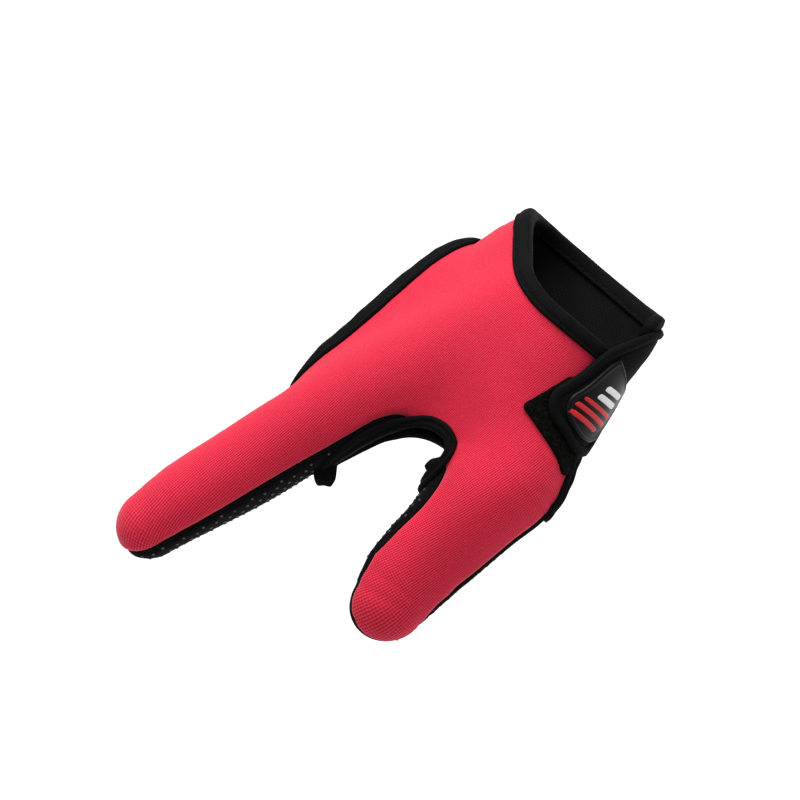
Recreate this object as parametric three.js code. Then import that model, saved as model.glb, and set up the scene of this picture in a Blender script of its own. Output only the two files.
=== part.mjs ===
// A two-finger fishing glove for the right hand, in the shape that it has when it is worn.
// It covers the thumb and the index finger, and leaves the other three fingers bare.
// Frame, in millimetres: the origin is the middle of the wrist opening, the fingertips point to -X,
// the thumb side is -Y and +Z stands out of the back of the hand.
// One smooth surface is worked out round the whole hand. Every layer of the glove is a region of that
// surface, bounded by level lines of a few fields, and given its own depth below and above it.
import * as THREE from "three";
import { mergeVertices } from "three/addons/utils/BufferGeometryUtils.js";

// Driving sizes of the glove
const HAND_LENGTH = 72; // wrist opening to index knuckle
const HAND_WIDTH = 80; // across the knuckles, over the fabric's middle
const HAND_DEPTH = 32; // back of the hand to palm
const WRIST_WIDTH = 60;
const WRIST_DEPTH = 41;
const INDEX_LENGTH = 84; // knuckle to the centre of the rounded tip
const INDEX_WIDTH = 26;
const THUMB_LENGTH = 56; // thumb knuckle to the centre of the rounded tip
const THUMB_WIDTH = 29;
const BACK_WALL = 2.5; // neoprene
const PALM_WALL = 1.5; // grip fabric

// Sizes of the sewn-on parts
const GAP = 0.3; // clearance between two layers
const TAPE = 0.8; // binding tape
const BINDING_WIDTH = 4.5; // how far the tape reaches in from an edge
const STRAP_WIDTH = 24;
const STRAP_WALL = 1.2;
const BADGE_WALL = 0.6;

// Fineness of the shared surface
const CELL = 6.6;
const SMOOTHING_ROUNDS = 8;

const lerp = THREE.MathUtils.lerp;
const clamp = THREE.MathUtils.clamp;
const smoothstep = THREE.MathUtils.smoothstep;

// The forearm leaves the wrist along this direction, and the wrist opening faces it
const FOREARM = new THREE.Vector3(0.86, 0.33, 0.38).normalize();
const THUMB_BACK = new THREE.Vector3(0.13, -0.775, 0.61).normalize();
const HAND_BACK = new THREE.Vector3(0, 0, 1);
const INDEX_BACK = new THREE.Vector3(0, 0.157, 0.988).normalize();

// Sections of the three limbs of the hand. The columns x, y and z are shares of the limb's length,
// wide and deep are half sizes as shares of the limb's width.
const PALM_ROWS = [
  { x: 0.68, y: 0.24, z: 0.32, wide: 0.40, deep: 0.30, seam: 0 },
  { x: 0.30, y: 0.10, z: 0.13, wide: 0.37, deep: 0.265, seam: 0 },
  { x: 0.0, y: 0.015, z: 0.0, wide: 0.36, deep: 0.25, seam: 0 },
  { x: -0.22, y: 0.0, z: -0.02, wide: 0.36, deep: 0.23, seam: 0 },
  { x: -0.47, y: -0.045, z: -0.03, wide: 0.345, deep: 0.205, seam: 0 },
  { x: -0.75, y: 0.06, z: -0.02, wide: 0.43, deep: 0.19, seam: 0 },
  { x: -1.1, y: 0.11, z: -0.02, wide: 0.44, deep: 0.165, seam: 0 },
];
const INDEX_ROWS = [
  { x: 0.55, y: 0.10, z: -0.01, wide: 0.46, deep: 0.50, seam: -0.4 },
  { x: 0.0, y: 0.0, z: 0.01, wide: 0.47, deep: 0.475, seam: 0.05 },
  { x: -0.25, y: -0.03, z: -0.01, wide: 0.48, deep: 0.465, seam: -0.12 },
  { x: -0.5, y: -0.06, z: -0.045, wide: 0.48, deep: 0.46, seam: -0.1 },
  { x: -0.78, y: -0.095, z: -0.091, wide: 0.465, deep: 0.425, seam: -0.14 },
  { x: -0.975, y: -0.122, z: -0.132, wide: 0.41, deep: 0.355, seam: -0.12 },
];
const THUMB_ROWS = [
  { x: 0.58, y: 0.66, z: 0.24, wide: 0.48, deep: 0.48, seam: 0.1 },
  { x: 0.25, y: 0.33, z: 0.10, wide: 0.52, deep: 0.50, seam: 0.25 },
  { x: 0.0, y: 0.0, z: 0.0, wide: 0.50, deep: 0.46, seam: 0.35 },
  { x: -0.19, y: -0.08, z: -0.04, wide: 0.485, deep: 0.44, seam: 0.35 },
  { x: -0.69, y: -0.232, z: -0.196, wide: 0.44, deep: 0.38, seam: 0.25 },
  { x: -0.87, y: -0.352, z: -0.273, wide: 0.36, deep: 0.32, seam: -0.1 },
];

// The skin between the thumb and the index finger, as a short limb out of the palm
const WEB_ROWS = [
  { x: 0.0, y: 0.0, z: 0.0, wide: 0.30, deep: 0.25, seam: -0.5 },
  { x: -0.5, y: -0.22, z: -0.05, wide: 0.30, deep: 0.24, seam: -0.5 },
  { x: -1.0, y: -0.38, z: -0.1, wide: 0.26, deep: 0.21, seam: -0.5 },
];
const WEB_LENGTH = 26;
const WEB_WIDTH = 34;
const WEB_BACK = new THREE.Vector3(0.05, -0.45, 0.89).normalize();
const WEB_ROOT = new THREE.Vector3(-0.43 * HAND_LENGTH, -0.32 * HAND_WIDTH, -0.25 * HAND_DEPTH);

// Knuckle joints that the finger tables start from
const INDEX_KNUCKLE = new THREE.Vector3(-HAND_LENGTH, -0.298 * HAND_WIDTH, 0.04 * HAND_DEPTH);
const THUMB_KNUCKLE = new THREE.Vector3(-0.59 * HAND_LENGTH, -0.69 * HAND_WIDTH, -0.69 * HAND_DEPTH);

// Turns a table into evenly spaced sections along smooth curves.
function limb(rows, start, length, width, back, steps) {
  const line = new THREE.CatmullRomCurve3(
    rows.map((row) => new THREE.Vector3(row.x, row.y, row.z).multiplyScalar(length).add(start)),
  );
  const sizes = new THREE.CatmullRomCurve3(
    rows.map((row) => new THREE.Vector3(row.wide * width, row.deep * width, row.seam)),
  );
  const sections = [];
  for (let i = 0; i <= steps; i++) {
    const centre = line.getPoint(i / steps);
    const along = line.getTangent(i / steps);
    const size = sizes.getPoint(i / steps);
    const up = back.clone().addScaledVector(along, -back.dot(along)).normalize();
    const side = new THREE.Vector3().crossVectors(along, up).normalize();
    sections.push({ centre, up, side, wide: size.x, deep: size.y, seam: size.z });
  }
  return sections;
}

const PALM_STEPS = 14;
const FINGER_STEPS = 12;
const PALM = limb(PALM_ROWS, new THREE.Vector3(), HAND_LENGTH, HAND_WIDTH, HAND_BACK, PALM_STEPS);
const INDEX = limb(INDEX_ROWS, INDEX_KNUCKLE, INDEX_LENGTH, INDEX_WIDTH, INDEX_BACK, FINGER_STEPS);
const THUMB = limb(THUMB_ROWS, THUMB_KNUCKLE, THUMB_LENGTH, THUMB_WIDTH, THUMB_BACK, FINGER_STEPS);

const WEB = limb(WEB_ROWS, WEB_ROOT, WEB_LENGTH, WEB_WIDTH, WEB_BACK, PALM_STEPS);

const mix = (a, b, t) => ({
  x: lerp(a.x, b.x, t),
  y: lerp(a.y, b.y, t),
  z: lerp(a.z, b.z, t),
});
const dot = (a, b) => a.x * b.x + a.y * b.y + a.z * b.z;
const minus = (a, b) => ({ x: a.x - b.x, y: a.y - b.y, z: a.z - b.z });

// Distance from point p to a limb's surface, negative inside, and p's height on the limb's back.
function toLimb(p, sections) {
  let best = { distance: Infinity, height: 0 };
  for (let i = 0; i + 1 < sections.length; i++) {
    const from = sections[i];
    const to = sections[i + 1];
    const step = minus(to.centre, from.centre);
    const t = clamp(dot(minus(p, from.centre), step) / dot(step, step), 0, 1);
    const offset = minus(p, mix(from.centre, to.centre, t));
    const side = dot(offset, mix(from.side, to.side, t));
    const height = dot(offset, mix(from.up, to.up, t));
    const past = dot(offset, step) / Math.sqrt(dot(step, step));
    const wide = lerp(from.wide, to.wide, t);
    const deep = lerp(from.deep, to.deep, t);
    const round = Math.min(wide, 1.2 * deep);
    const k0 = Math.hypot(side / wide, height / deep, past / round);
    const k1 = Math.hypot(side / wide ** 2, height / deep ** 2, past / round ** 2);
    const distance = k1 > 1e-9 ? (k0 * (k0 - 1)) / k1 : -deep;
    if (distance < best.distance) best = { distance, height: height - deep * lerp(from.seam, to.seam, t) };
  }
  return best;
}

function smoothMin(a, b, radius) {
  const h = Math.max(radius - Math.abs(a - b), 0) / radius;
  return Math.min(a, b) - (h * h * radius) / 4;
}

const smoothMax = (a, b, radius) => -smoothMin(-a, -b, radius);

const KNUCKLE_BLEND = 14;
const THUMB_BLEND = 22;
const SEAM_BLEND = 4;

// The hand's surface: zero on the middle of the fabric. height is above zero on the back of the hand.
function hand(p) {
  const limbs = [toLimb(p, PALM), toLimb(p, INDEX), toLimb(p, WEB), toLimb(p, THUMB)];
  const [palm, index, web, thumb] = limbs.map((found) => found.distance);
  const palmAndIndex = smoothMin(palm, index, KNUCKLE_BLEND);
  const distance = smoothMin(smoothMin(palmAndIndex, web, KNUCKLE_BLEND), thumb, THUMB_BLEND);
  const nearest = Math.min(palm, index, web, thumb);
  const weights = limbs.map((found) => Math.exp((nearest - found.distance) / SEAM_BLEND));
  const height =
    limbs.reduce((sum, found, i) => sum + weights[i] * found.height, 0) /
    weights.reduce((sum, weight) => sum + weight, 0);
  return { distance, height };
}

function gradient(p, field, reach = 0.4) {
  const slope = (axis) =>
    (field({ ...p, [axis]: p[axis] + reach }) - field({ ...p, [axis]: p[axis] - reach })) / (2 * reach);
  return { x: slope("x"), y: slope("y"), z: slope("z") };
}

const handDistance = (p) => hand(p).distance;

// Moves p onto the hand's surface and gives the outward normal there.
function ontoHand(p) {
  let at = p;
  let normal;
  for (let round = 0; round < 3; round++) {
    const slope = gradient(at, handDistance);
    const size = Math.sqrt(dot(slope, slope));
    normal = { x: slope.x / size, y: slope.y / size, z: slope.z / size };
    const step = handDistance(at) / size;
    at = { x: at.x - normal.x * step, y: at.y - normal.y * step, z: at.z - normal.z * step };
  }
  return { ...at, normal };
}

// One vertex in each grid cell that the surface crosses, and a quad round each grid edge that it crosses.
function surfaceNet(low, high, cell) {
  const count = ["x", "y", "z"].map((axis) => Math.ceil((high[axis] - low[axis]) / cell) + 1);
  const at = (i, j, k) => (k * count[1] + j) * count[0] + i;
  const value = new Float64Array(count[0] * count[1] * count[2]);
  for (let k = 0; k < count[2]; k++)
    for (let j = 0; j < count[1]; j++)
      for (let i = 0; i < count[0]; i++)
        value[at(i, j, k)] = handDistance({ x: low.x + i * cell, y: low.y + j * cell, z: low.z + k * cell });
  const vertexOf = new Map();
  const vertices = [];
  const corners = [0, 1, 2, 3, 4, 5, 6, 7].map((n) => [n & 1, (n >> 1) & 1, n >> 2]);
  for (let k = 0; k + 1 < count[2]; k++)
    for (let j = 0; j + 1 < count[1]; j++)
      for (let i = 0; i + 1 < count[0]; i++) {
        const values = corners.map(([a, b, c]) => value[at(i + a, j + b, k + c)]);
        if (values.every((v) => v < 0) || values.every((v) => v >= 0)) continue;
        const sum = [0, 0, 0];
        let crossings = 0;
        for (let a = 0; a < 8; a++)
          for (const bit of [1, 2, 4]) {
            const b = a | bit;
            if (b === a || values[a] < 0 === values[b] < 0) continue;
            const t = values[a] / (values[a] - values[b]);
            for (let n = 0; n < 3; n++) sum[n] += lerp(corners[a][n], corners[b][n], t);
            crossings++;
          }
        vertexOf.set(at(i, j, k), vertices.length);
        vertices.push({
          x: low.x + (i + sum[0] / crossings) * cell,
          y: low.y + (j + sum[1] / crossings) * cell,
          z: low.z + (k + sum[2] / crossings) * cell,
        });
      }
  const quads = [];
  const steps = [at(1, 0, 0), at(0, 1, 0), at(0, 0, 1)];
  for (let k = 1; k + 1 < count[2]; k++)
    for (let j = 1; j + 1 < count[1]; j++)
      for (let i = 1; i + 1 < count[0]; i++) {
        const here = at(i, j, k);
        for (let n = 0; n < 3; n++) {
          const inside = value[here] < 0;
          if (inside === value[here + steps[n]] < 0) continue;
          const u = steps[(n + 1) % 3];
          const v = steps[(n + 2) % 3];
          const ring = [here - u - v, here - v, here, here - u].map((key) => vertexOf.get(key));
          quads.push(inside ? ring : ring.reverse());
        }
      }
  return { vertices, quads };
}

// The shared surface: the net, evened out and laid exactly on the hand, in triangles.
function sharedSurface() {
  const low = { x: -HAND_LENGTH - INDEX_LENGTH - 20, y: -HAND_WIDTH * 1.35, z: -HAND_DEPTH * 2.1 };
  const high = { x: 62, y: HAND_WIDTH * 0.75, z: HAND_DEPTH * 1.9 };
  const { vertices, quads } = surfaceNet(low, high, CELL);
  const neighbours = vertices.map(() => new Set());
  for (const quad of quads)
    quad.forEach((vertex, n) => {
      const next = quad[(n + 1) % 4];
      neighbours[vertex].add(next);
      neighbours[next].add(vertex);
    });
  let points = vertices.map(ontoHand);
  for (let round = 0; round < SMOOTHING_ROUNDS; round++)
    points = points.map((point, i) => {
      const around = [...neighbours[i]];
      const mean = (axis) => around.reduce((sum, n) => sum + points[n][axis], 0) / around.length;
      return ontoHand(mix(point, { x: mean("x"), y: mean("y"), z: mean("z") }, 0.5));
    });
  const length2 = (a, b) => {
    const gap = minus(points[a], points[b]);
    return dot(gap, gap);
  };
  const triangles = quads.flatMap(([a, b, c, d]) =>
    length2(a, c) < length2(b, d) ? [[a, b, c], [a, c, d]] : [[a, b, d], [b, c, d]],
  );
  return { points, triangles };
}

const SURFACE = sharedSurface();

// Cuts a surface in two along the line where field has this level. New corners lie on the old edges,
// and their normals too, so that layers of any outline keep parallel faces.
const SNAP = 0.12;

// A corner on an edge. The values that are kept with the corners are carried along with the rest.
function between(from, to, t) {
  const point = { normal: mix(from.normal, to.normal, t) };
  for (const key of Object.keys(from)) if (key !== "normal") point[key] = lerp(from[key], to[key], t);
  return point;
}

function split(surface, field, level) {
  const value = surface.points.map((point) => field(point) - level);
  const points = [...surface.points];
  const made = new Map();
  const crossing = (a, b) => {
    const [i, j] = a < b ? [a, b] : [b, a];
    const t = value[i] / (value[i] - value[j]);
    const [from, to] = [points[i], points[j]];
    const length = Math.sqrt(dot(minus(from, to), minus(from, to)));
    if (Math.min(t, 1 - t) * length < SNAP) return t < 0.5 ? i : j;
    const key = i * value.length + j;
    if (!made.has(key)) {
      made.set(key, points.length);
      points.push(between(from, to, t));
    }
    return made.get(key);
  };
  const below = { points, triangles: [] };
  const above = { points, triangles: [] };
  const add = (part, a, b, c) => {
    if (a !== b && b !== c && c !== a) part.triangles.push([a, b, c]);
  };
  for (const triangle of surface.triangles) {
    const inside = triangle.map((vertex) => value[vertex] < 0);
    const number = inside.filter(Boolean).length;
    if (number === 3) below.triangles.push(triangle);
    if (number === 0) above.triangles.push(triangle);
    if (number === 0 || number === 3) continue;
    const odd = inside.indexOf(number === 1);
    const [a, b, c] = [0, 1, 2].map((n) => triangle[(odd + n) % 3]);
    const [ab, ac] = [crossing(a, b), crossing(a, c)];
    const [single, double] = number === 1 ? [below, above] : [above, below];
    add(single, a, ab, ac);
    add(double, ab, b, c);
    add(double, ab, c, ac);
  }
  return [below, above];
}

const keepBelow = (surface, field, level) => split(surface, field, level)[0];

// Collects the corners and faces of a closed solid made of sheets at given depths along the normals.
function shell(points) {
  const corners = new Map();
  const positions = [];
  const faces = [];
  const corner = (vertex, depth) => {
    const key = `${vertex} ${depth}`;
    if (!corners.has(key)) {
      const { x, y, z, normal } = points[vertex];
      corners.set(key, positions.length / 3);
      positions.push(x + normal.x * depth, y + normal.y * depth, z + normal.z * depth);
    }
    return corners.get(key);
  };
  return {
    top: ([a, b, c], depth) => faces.push(corner(a, depth), corner(b, depth), corner(c, depth)),
    bottom: ([a, b, c], depth) => faces.push(corner(c, depth), corner(b, depth), corner(a, depth)),
    // A strip between the two ends of an edge, each with its own list of depths, from high to low
    wall: ([a, b], atA, atB = atA) => {
      let [i, j] = [0, 0];
      while (i + 1 < atA.length || j + 1 < atB.length) {
        const first = j + 1 === atB.length || (i + 1 < atA.length && atA[i + 1] >= atB[j + 1]);
        if (first) faces.push(corner(a, atA[i]), corner(a, atA[i + 1]), corner(b, atB[j]));
        else faces.push(corner(a, atA[i]), corner(b, atB[j + 1]), corner(b, atB[j]));
        if (first) i++;
        else j++;
      }
    },
    geometry: () => {
      const made = new THREE.BufferGeometry();
      made.setAttribute("position", new THREE.Float32BufferAttribute(positions, 3));
      return made.setIndex(faces);
    },
  };
}

// The directed outline of some triangles, as pairs of corners with a text key for each direction
function outline(triangles) {
  const edges = new Map();
  for (const [a, b, c] of triangles)
    for (const edge of [[a, b], [b, c], [c, a]]) edges.set(edge.join(), edge);
  return [...edges.values()].filter(([a, b]) => !edges.has(`${b},${a}`));
}

// A plate of even thickness between two depths.
function plate({ points, triangles }, low, high) {
  const made = shell(points);
  for (const triangle of triangles) {
    made.top(triangle, high);
    made.bottom(triangle, low);
  }
  for (const edge of outline(triangles)) made.wall(edge, [high, low]);
  return made.geometry();
}

// Tape folded round an edge: two legs over the triangles of legs, joined over the triangles of fold.
function folded(points, legs, fold, depths) {
  const [outerTop, outerUnder, innerTop, innerUnder] = depths;
  const made = shell(points);
  for (const triangle of [...legs, ...fold]) {
    made.top(triangle, outerTop);
    made.bottom(triangle, innerUnder);
  }
  for (const triangle of legs) {
    made.bottom(triangle, outerUnder);
    made.top(triangle, innerTop);
  }
  const legEdges = new Set(outline(legs).map((edge) => edge.join()));
  const foldEdges = new Set(outline(fold).map((edge) => edge.join()));
  for (const [a, b] of outline(legs))
    if (!foldEdges.has(`${b},${a}`)) {
      made.wall([a, b], [outerTop, outerUnder]);
      made.wall([a, b], [innerTop, innerUnder]);
    }
  const onLegs = new Set(legs.flat());
  const atEnd = (vertex) => (onLegs.has(vertex) ? depths : [outerTop, innerUnder]);
  for (const [a, b] of outline(fold)) {
    if (legEdges.has(`${b},${a}`)) made.wall([a, b], [outerUnder, innerTop]);
    else made.wall([a, b], atEnd(a), atEnd(b));
  }
  return made.geometry();
}

// Fields that bound the layers. Each is about a distance in millimetres, and is above zero where it cuts.
const CORNER = 6;
const CORNER_LIFT = 3;
const WRIST_CENTRE = new THREE.Vector3(0, 0, 0);
const SCOOP_DEPTH = 18;
function wristEdge(p) {
  const across = smoothstep(-p.y, -0.45 * WRIST_WIDTH, 0.45 * WRIST_WIDTH);
  const onBack = smoothstep(hand(p).height, -0.1 * WRIST_DEPTH, 0.12 * WRIST_DEPTH);
  return dot(minus(p, WRIST_CENTRE), FOREARM) + SCOOP_DEPTH * across * onBack - CORNER_LIFT;
}

// The opening for the bare fingers is a round cutter through the whole hand
const BARE_CENTRE = { x: -2.56 * HAND_LENGTH, y: 2.68 * HAND_WIDTH };
const BARE_RADIUS = 3.025 * HAND_WIDTH;
const BARE_END = -1.42 * HAND_LENGTH;
function bareEdge(p) {
  const round = BARE_RADIUS - Math.hypot(p.x - BARE_CENTRE.x, p.y - BARE_CENTRE.y);
  return smoothMin(round, p.x - BARE_END, 2 * CORNER);
}

// The opening of the web is a chain of balls along the seam, from the index finger to the thumb.
// Columns x, y and z are shares of the hand's length, width and depth, radius is a share of its depth.
const OPENING_ROWS = [
  { x: -1.29, y: -0.46, z: -0.28, radius: 0.08 },
  { x: -1.12, y: -0.46, z: -0.34, radius: 0.26 },
  { x: -0.91, y: -0.495, z: -0.41, radius: 0.35 },
  { x: -0.80, y: -0.565, z: -0.44, radius: 0.24 },
  { x: -0.83, y: -0.61, z: -0.36, radius: 0.08 },
];
const OPENING_STEPS = 16;
const OPENING_LINE = new THREE.CatmullRomCurve3(
  OPENING_ROWS.map((row) => new THREE.Vector3(row.x * HAND_LENGTH, row.y * HAND_WIDTH, row.z * HAND_DEPTH)),
);
const OPENING_RADII = new THREE.CatmullRomCurve3(
  OPENING_ROWS.map((row) => new THREE.Vector3(row.radius * HAND_DEPTH, 0, 0)),
);
const OPENING_BALLS = Array.from({ length: OPENING_STEPS + 1 }, (_, i) => ({
  centre: OPENING_LINE.getPoint(i / OPENING_STEPS),
  radius: OPENING_RADII.getPoint(i / OPENING_STEPS).x,
}));

function webEdge(p) {
  let best = -Infinity;
  for (let i = 0; i < OPENING_STEPS; i++) {
    const [from, to] = [OPENING_BALLS[i], OPENING_BALLS[i + 1]];
    const step = minus(to.centre, from.centre);
    const t = clamp(dot(minus(p, from.centre), step) / dot(step, step), 0, 1);
    const offset = minus(p, mix(from.centre, to.centre, t));
    best = Math.max(best, lerp(from.radius, to.radius, t) - Math.sqrt(dot(offset, offset)));
  }
  return best;
}

// The slit runs along the thumb-side seam, as a wedge that opens from the thumb's knuckle to the wrist
const SLIT_HALF_WIDTH = 5;
const SLIT_END = -0.56 * HAND_LENGTH;
const SLIT_MOUTH = 0.05 * HAND_LENGTH;
const SLIT_SIDE = -0.2 * HAND_WIDTH;
function slitHalf(p) {
  const beyond = p.x - SLIT_END;
  const half = beyond < 0 ? beyond : (SLIT_HALF_WIDTH * Math.min(beyond, SLIT_MOUTH - SLIT_END)) / (SLIT_MOUTH - SLIT_END);
  return half - Math.max(0, p.y - SLIT_SIDE);
}

// The strap follows a line from its root on the palm to its end on the back of the thumb's base.
// Columns are shares of the hand's width.
const STRAP_ROWS = [
  { x: 0.025, y: -0.125, z: -0.29 },
  { x: 0.062, y: -0.26, z: -0.27 },
  { x: 0.074, y: -0.385, z: -0.23 },
  { x: 0.012, y: -0.48, z: -0.193 },
  { x: -0.115, y: -0.578, z: -0.175 },
  { x: -0.24, y: -0.648, z: -0.148 },
  { x: -0.36, y: -0.71, z: -0.125 },
];
const STRAP_STEPS = 24;
const STRAP_LINE = new THREE.CatmullRomCurve3(
  STRAP_ROWS.map((row) => new THREE.Vector3(row.x, row.y, row.z).multiplyScalar(HAND_WIDTH)),
)
  .getSpacedPoints(STRAP_STEPS)
  .map(ontoHand);

// How far p is along the strap's line, how far is left to its end, and how far p is off it to each side.
function toStrap(p) {
  let best = { beside: Infinity };
  let passed = 0;
  for (let i = 0; i < STRAP_STEPS; i++) {
    const [from, to] = [STRAP_LINE[i], STRAP_LINE[i + 1]];
    const step = minus(to, from);
    const length = Math.sqrt(dot(step, step));
    const first = i === 0 ? -Infinity : 0;
    const last = i === STRAP_STEPS - 1 ? Infinity : 1;
    const t = clamp(dot(minus(p, from), step) / (length * length), first, last);
    const offset = minus(p, mix(from, to, t));
    const beside = Math.sqrt(dot(offset, offset));
    const left = new THREE.Vector3().crossVectors(step, from.normal).dot(offset) > 0;
    if (beside < best.beside) best = { beside, across: left ? beside : -beside, along: passed + t * length };
    passed += length;
  }
  return { ...best, left: passed - best.along };
}

// A patch of the strap: below zero inside, with round corners at the end and a straight root
const patch = (halfWidth, rootLength, endMargin, round) => (p) => {
  const { beside, along, left } = toStrap(p);
  const side = Math.max(beside - halfWidth + round, 0);
  const end = Math.max(endMargin + round - left, 0);
  const inner = Math.max(beside - halfWidth, endMargin - left);
  const outer = Math.hypot(side, end) - round;
  return Math.max(side > 0 && end > 0 ? outer : inner, rootLength - along);
};

// A slanted bar across the strap, at a distance before its end. Its four sides are cut one by one,
// because the bar is finer than the shared surface.
function bar(halfLength, thickness, beforeEnd, slant) {
  const across = (p) => toStrap(p).across;
  const along = (p) => toStrap(p).left - beforeEnd + slant * toStrap(p).across;
  let region = keepBelow(SURFACE, (p) => toStrap(p).beside, 2 * halfLength + thickness);
  for (const [field, reach] of [[across, halfLength], [along, thickness / 2]]) {
    region = keepBelow(region, field, reach);
    region = keepBelow(region, (p) => -field(p), reach);
  }
  return region;
}

const heightOf = (p) => hand(p).height;
const backWrist = (p) => smoothMax(wristEdge(p), slitHalf(p) - heightOf(p), CORNER);
const palmWrist = (p) => smoothMax(wristEdge(p), slitHalf(p) + heightOf(p), CORNER);

// Turns a field into a distance along the surface, so that bands keep their width where it is steep.
const MIN_SLOPE = 0.35;
const onSurface = (field) => (point) => {
  const slope = gradient(point, field);
  const across = dot(slope, point.normal) / dot(point.normal, point.normal);
  const flat = minus(slope, { x: point.normal.x * across, y: point.normal.y * across, z: point.normal.z * across });
  return field(point) / Math.max(Math.sqrt(dot(flat, flat)), MIN_SLOPE);
};

// Every field is worked out once at each corner of the shared surface, and kept with it.
const FIELDS = {
  height: heightOf,
  bare: onSurface(bareEdge),
  web: onSurface(webEdge),
  backWrist: onSurface(backWrist),
  palmWrist: onSurface(palmWrist),
};
for (const point of SURFACE.points) {
  const values = Object.entries(FIELDS).map(([name, field]) => [name, field(point)]);
  Object.assign(point, Object.fromEntries(values));
}

// The two sides of the glove: how far a point lies beyond the side's own half, and its wrist edge
const OUTSIDE = BACK_WALL / 2;
const SIDES = {
  back: { beyond: (p) => -p.height, wrist: (p) => p.backWrist, inner: OUTSIDE - BACK_WALL },
  palm: { beyond: (p) => p.height, wrist: (p) => p.palmWrist, inner: OUTSIDE - PALM_WALL },
};
const bare = (p) => p.bare;
const web = (p) => p.web;

function panel({ beyond, wrist, inner }) {
  let region = keepBelow(SURFACE, beyond, -GAP / 2);
  for (const edge of [wrist, bare, web]) region = keepBelow(region, edge, 0);
  return plate(region, inner, OUTSIDE);
}

// Tape folded over one edge of a panel
function binding({ beyond, inner }, edge, width) {
  const half = keepBelow(SURFACE, beyond, -GAP / 2);
  const band = keepBelow(keepBelow(half, edge, GAP + TAPE), (p) => -edge(p) - width(p), 0);
  const [legs, fold] = split(band, edge, GAP);
  const depths = [OUTSIDE + GAP + TAPE, OUTSIDE + GAP, inner - GAP, inner - GAP - TAPE];
  return folded(legs.points, legs.triangles, fold.triangles, depths);
}

const COLOURS = {
  red: { color: 0xd8283f, roughness: 0.85, metalness: 0 },
  black: { color: 0x151517, roughness: 0.9, metalness: 0 },
  tape: { color: 0x1c1c1e, roughness: 0.8, metalness: 0 },
  white: { color: 0xe8e8e8, roughness: 0.6, metalness: 0 },
  rubber: { color: 0x101012, roughness: 0.6, metalness: 0 },
};

function meshOf(name, geometry, look) {
  const mesh = new THREE.Mesh(geometry, new THREE.MeshStandardMaterial(COLOURS[look]));
  mesh.name = name;
  return mesh;
}

const glove = new THREE.Group();
const add = (name, geometry, look) => glove.add(meshOf(name, geometry, look));
add("back_panel", panel(SIDES.back), "red");
add("palm_panel", panel(SIDES.palm), "black");
const evenWidth = () => BINDING_WIDTH;

// The tape of the web runs out where the opening ends in the seam
const END_WIDTH = 1.4;
const taperedWidth = (p) => Math.min(BINDING_WIDTH, END_WIDTH + 1.2 * Math.abs(p.height));
for (const [name, side] of Object.entries(SIDES)) {
  add(`finger_binding_${name}`, binding(side, bare, evenWidth), "tape");
  add(`web_binding_${name}`, binding(side, web, taperedWidth), "tape");
  add(`wrist_binding_${name}`, binding(side, side.wrist, evenWidth), "tape");
}

// The hook tape lies on the back panel, the strap on the hook tape and the badge on the strap.
const STRAP_END = 5;
const STRAP_BASE = OUTSIDE + 2 * GAP + TAPE;
const STRAP_TOP = STRAP_BASE + STRAP_WALL;
const BADGE_BASE = STRAP_TOP + GAP;
const MARK_BASE = BADGE_BASE + BADGE_WALL + GAP;
const MARK_WALL = 0.3;
const strapShape = patch(STRAP_WIDTH / 2, 0, STRAP_END, 0.35 * STRAP_WIDTH);
const hookShape = patch(STRAP_WIDTH / 2 + 0.5, 1.9 * STRAP_WIDTH, 0, 1.5);
const badgeShape = patch(0.34 * STRAP_WIDTH, 1.2 * STRAP_WIDTH, STRAP_END + 3.6, 0.3 * STRAP_WIDTH);
const strap = keepBelow(SURFACE, strapShape, 0);
const besideSlit = keepBelow(SURFACE, (p) => p.backWrist, -BINDING_WIDTH - GAP);
const hook = keepBelow(besideSlit, hookShape, 0);
const badge = keepBelow(SURFACE, badgeShape, 0);
add("wrist_strap", plate(strap, STRAP_BASE, STRAP_TOP), "tape");
add("hook_tab", plate(hook, OUTSIDE + GAP, OUTSIDE + GAP + TAPE), "tape");
add("badge", plate(badge, BADGE_BASE, BADGE_BASE + BADGE_WALL), "rubber");

// The strap's edge is bound with a flat tape round its end and along both sides
const STRAP_TAPE_WIDTH = 2.8;
const strapEdge = keepBelow(keepBelow(SURFACE, strapShape, -GAP), (p) => -strapShape(p), STRAP_TAPE_WIDTH);
add("strap_binding", plate(strapEdge, STRAP_TOP + GAP, STRAP_TOP + GAP + TAPE), "tape");

// Raised marks on the badge, from its round end on: three slanted slashes and two shorter ones
const MARK_SLANT = 0.5;
const MARKS = [
  { name: "badge_slash_1", beforeEnd: 13, thickness: 2, reach: 0.2, look: "red" },
  { name: "badge_slash_2", beforeEnd: 16.5, thickness: 2, reach: 0.24, look: "red" },
  { name: "badge_slash_3", beforeEnd: 20, thickness: 2, reach: 0.24, look: "red" },
  { name: "badge_bar_1", beforeEnd: 24, thickness: 2.4, reach: 0.16, look: "white" },
  { name: "badge_bar_2", beforeEnd: 28, thickness: 2.4, reach: 0.16, look: "white" },
];
for (const { name, beforeEnd, thickness, reach, look } of MARKS) {
  const region = bar(reach * STRAP_WIDTH, thickness, beforeEnd, MARK_SLANT);
  add(name, plate(region, MARK_BASE, MARK_BASE + MARK_WALL), look);
}

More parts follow.
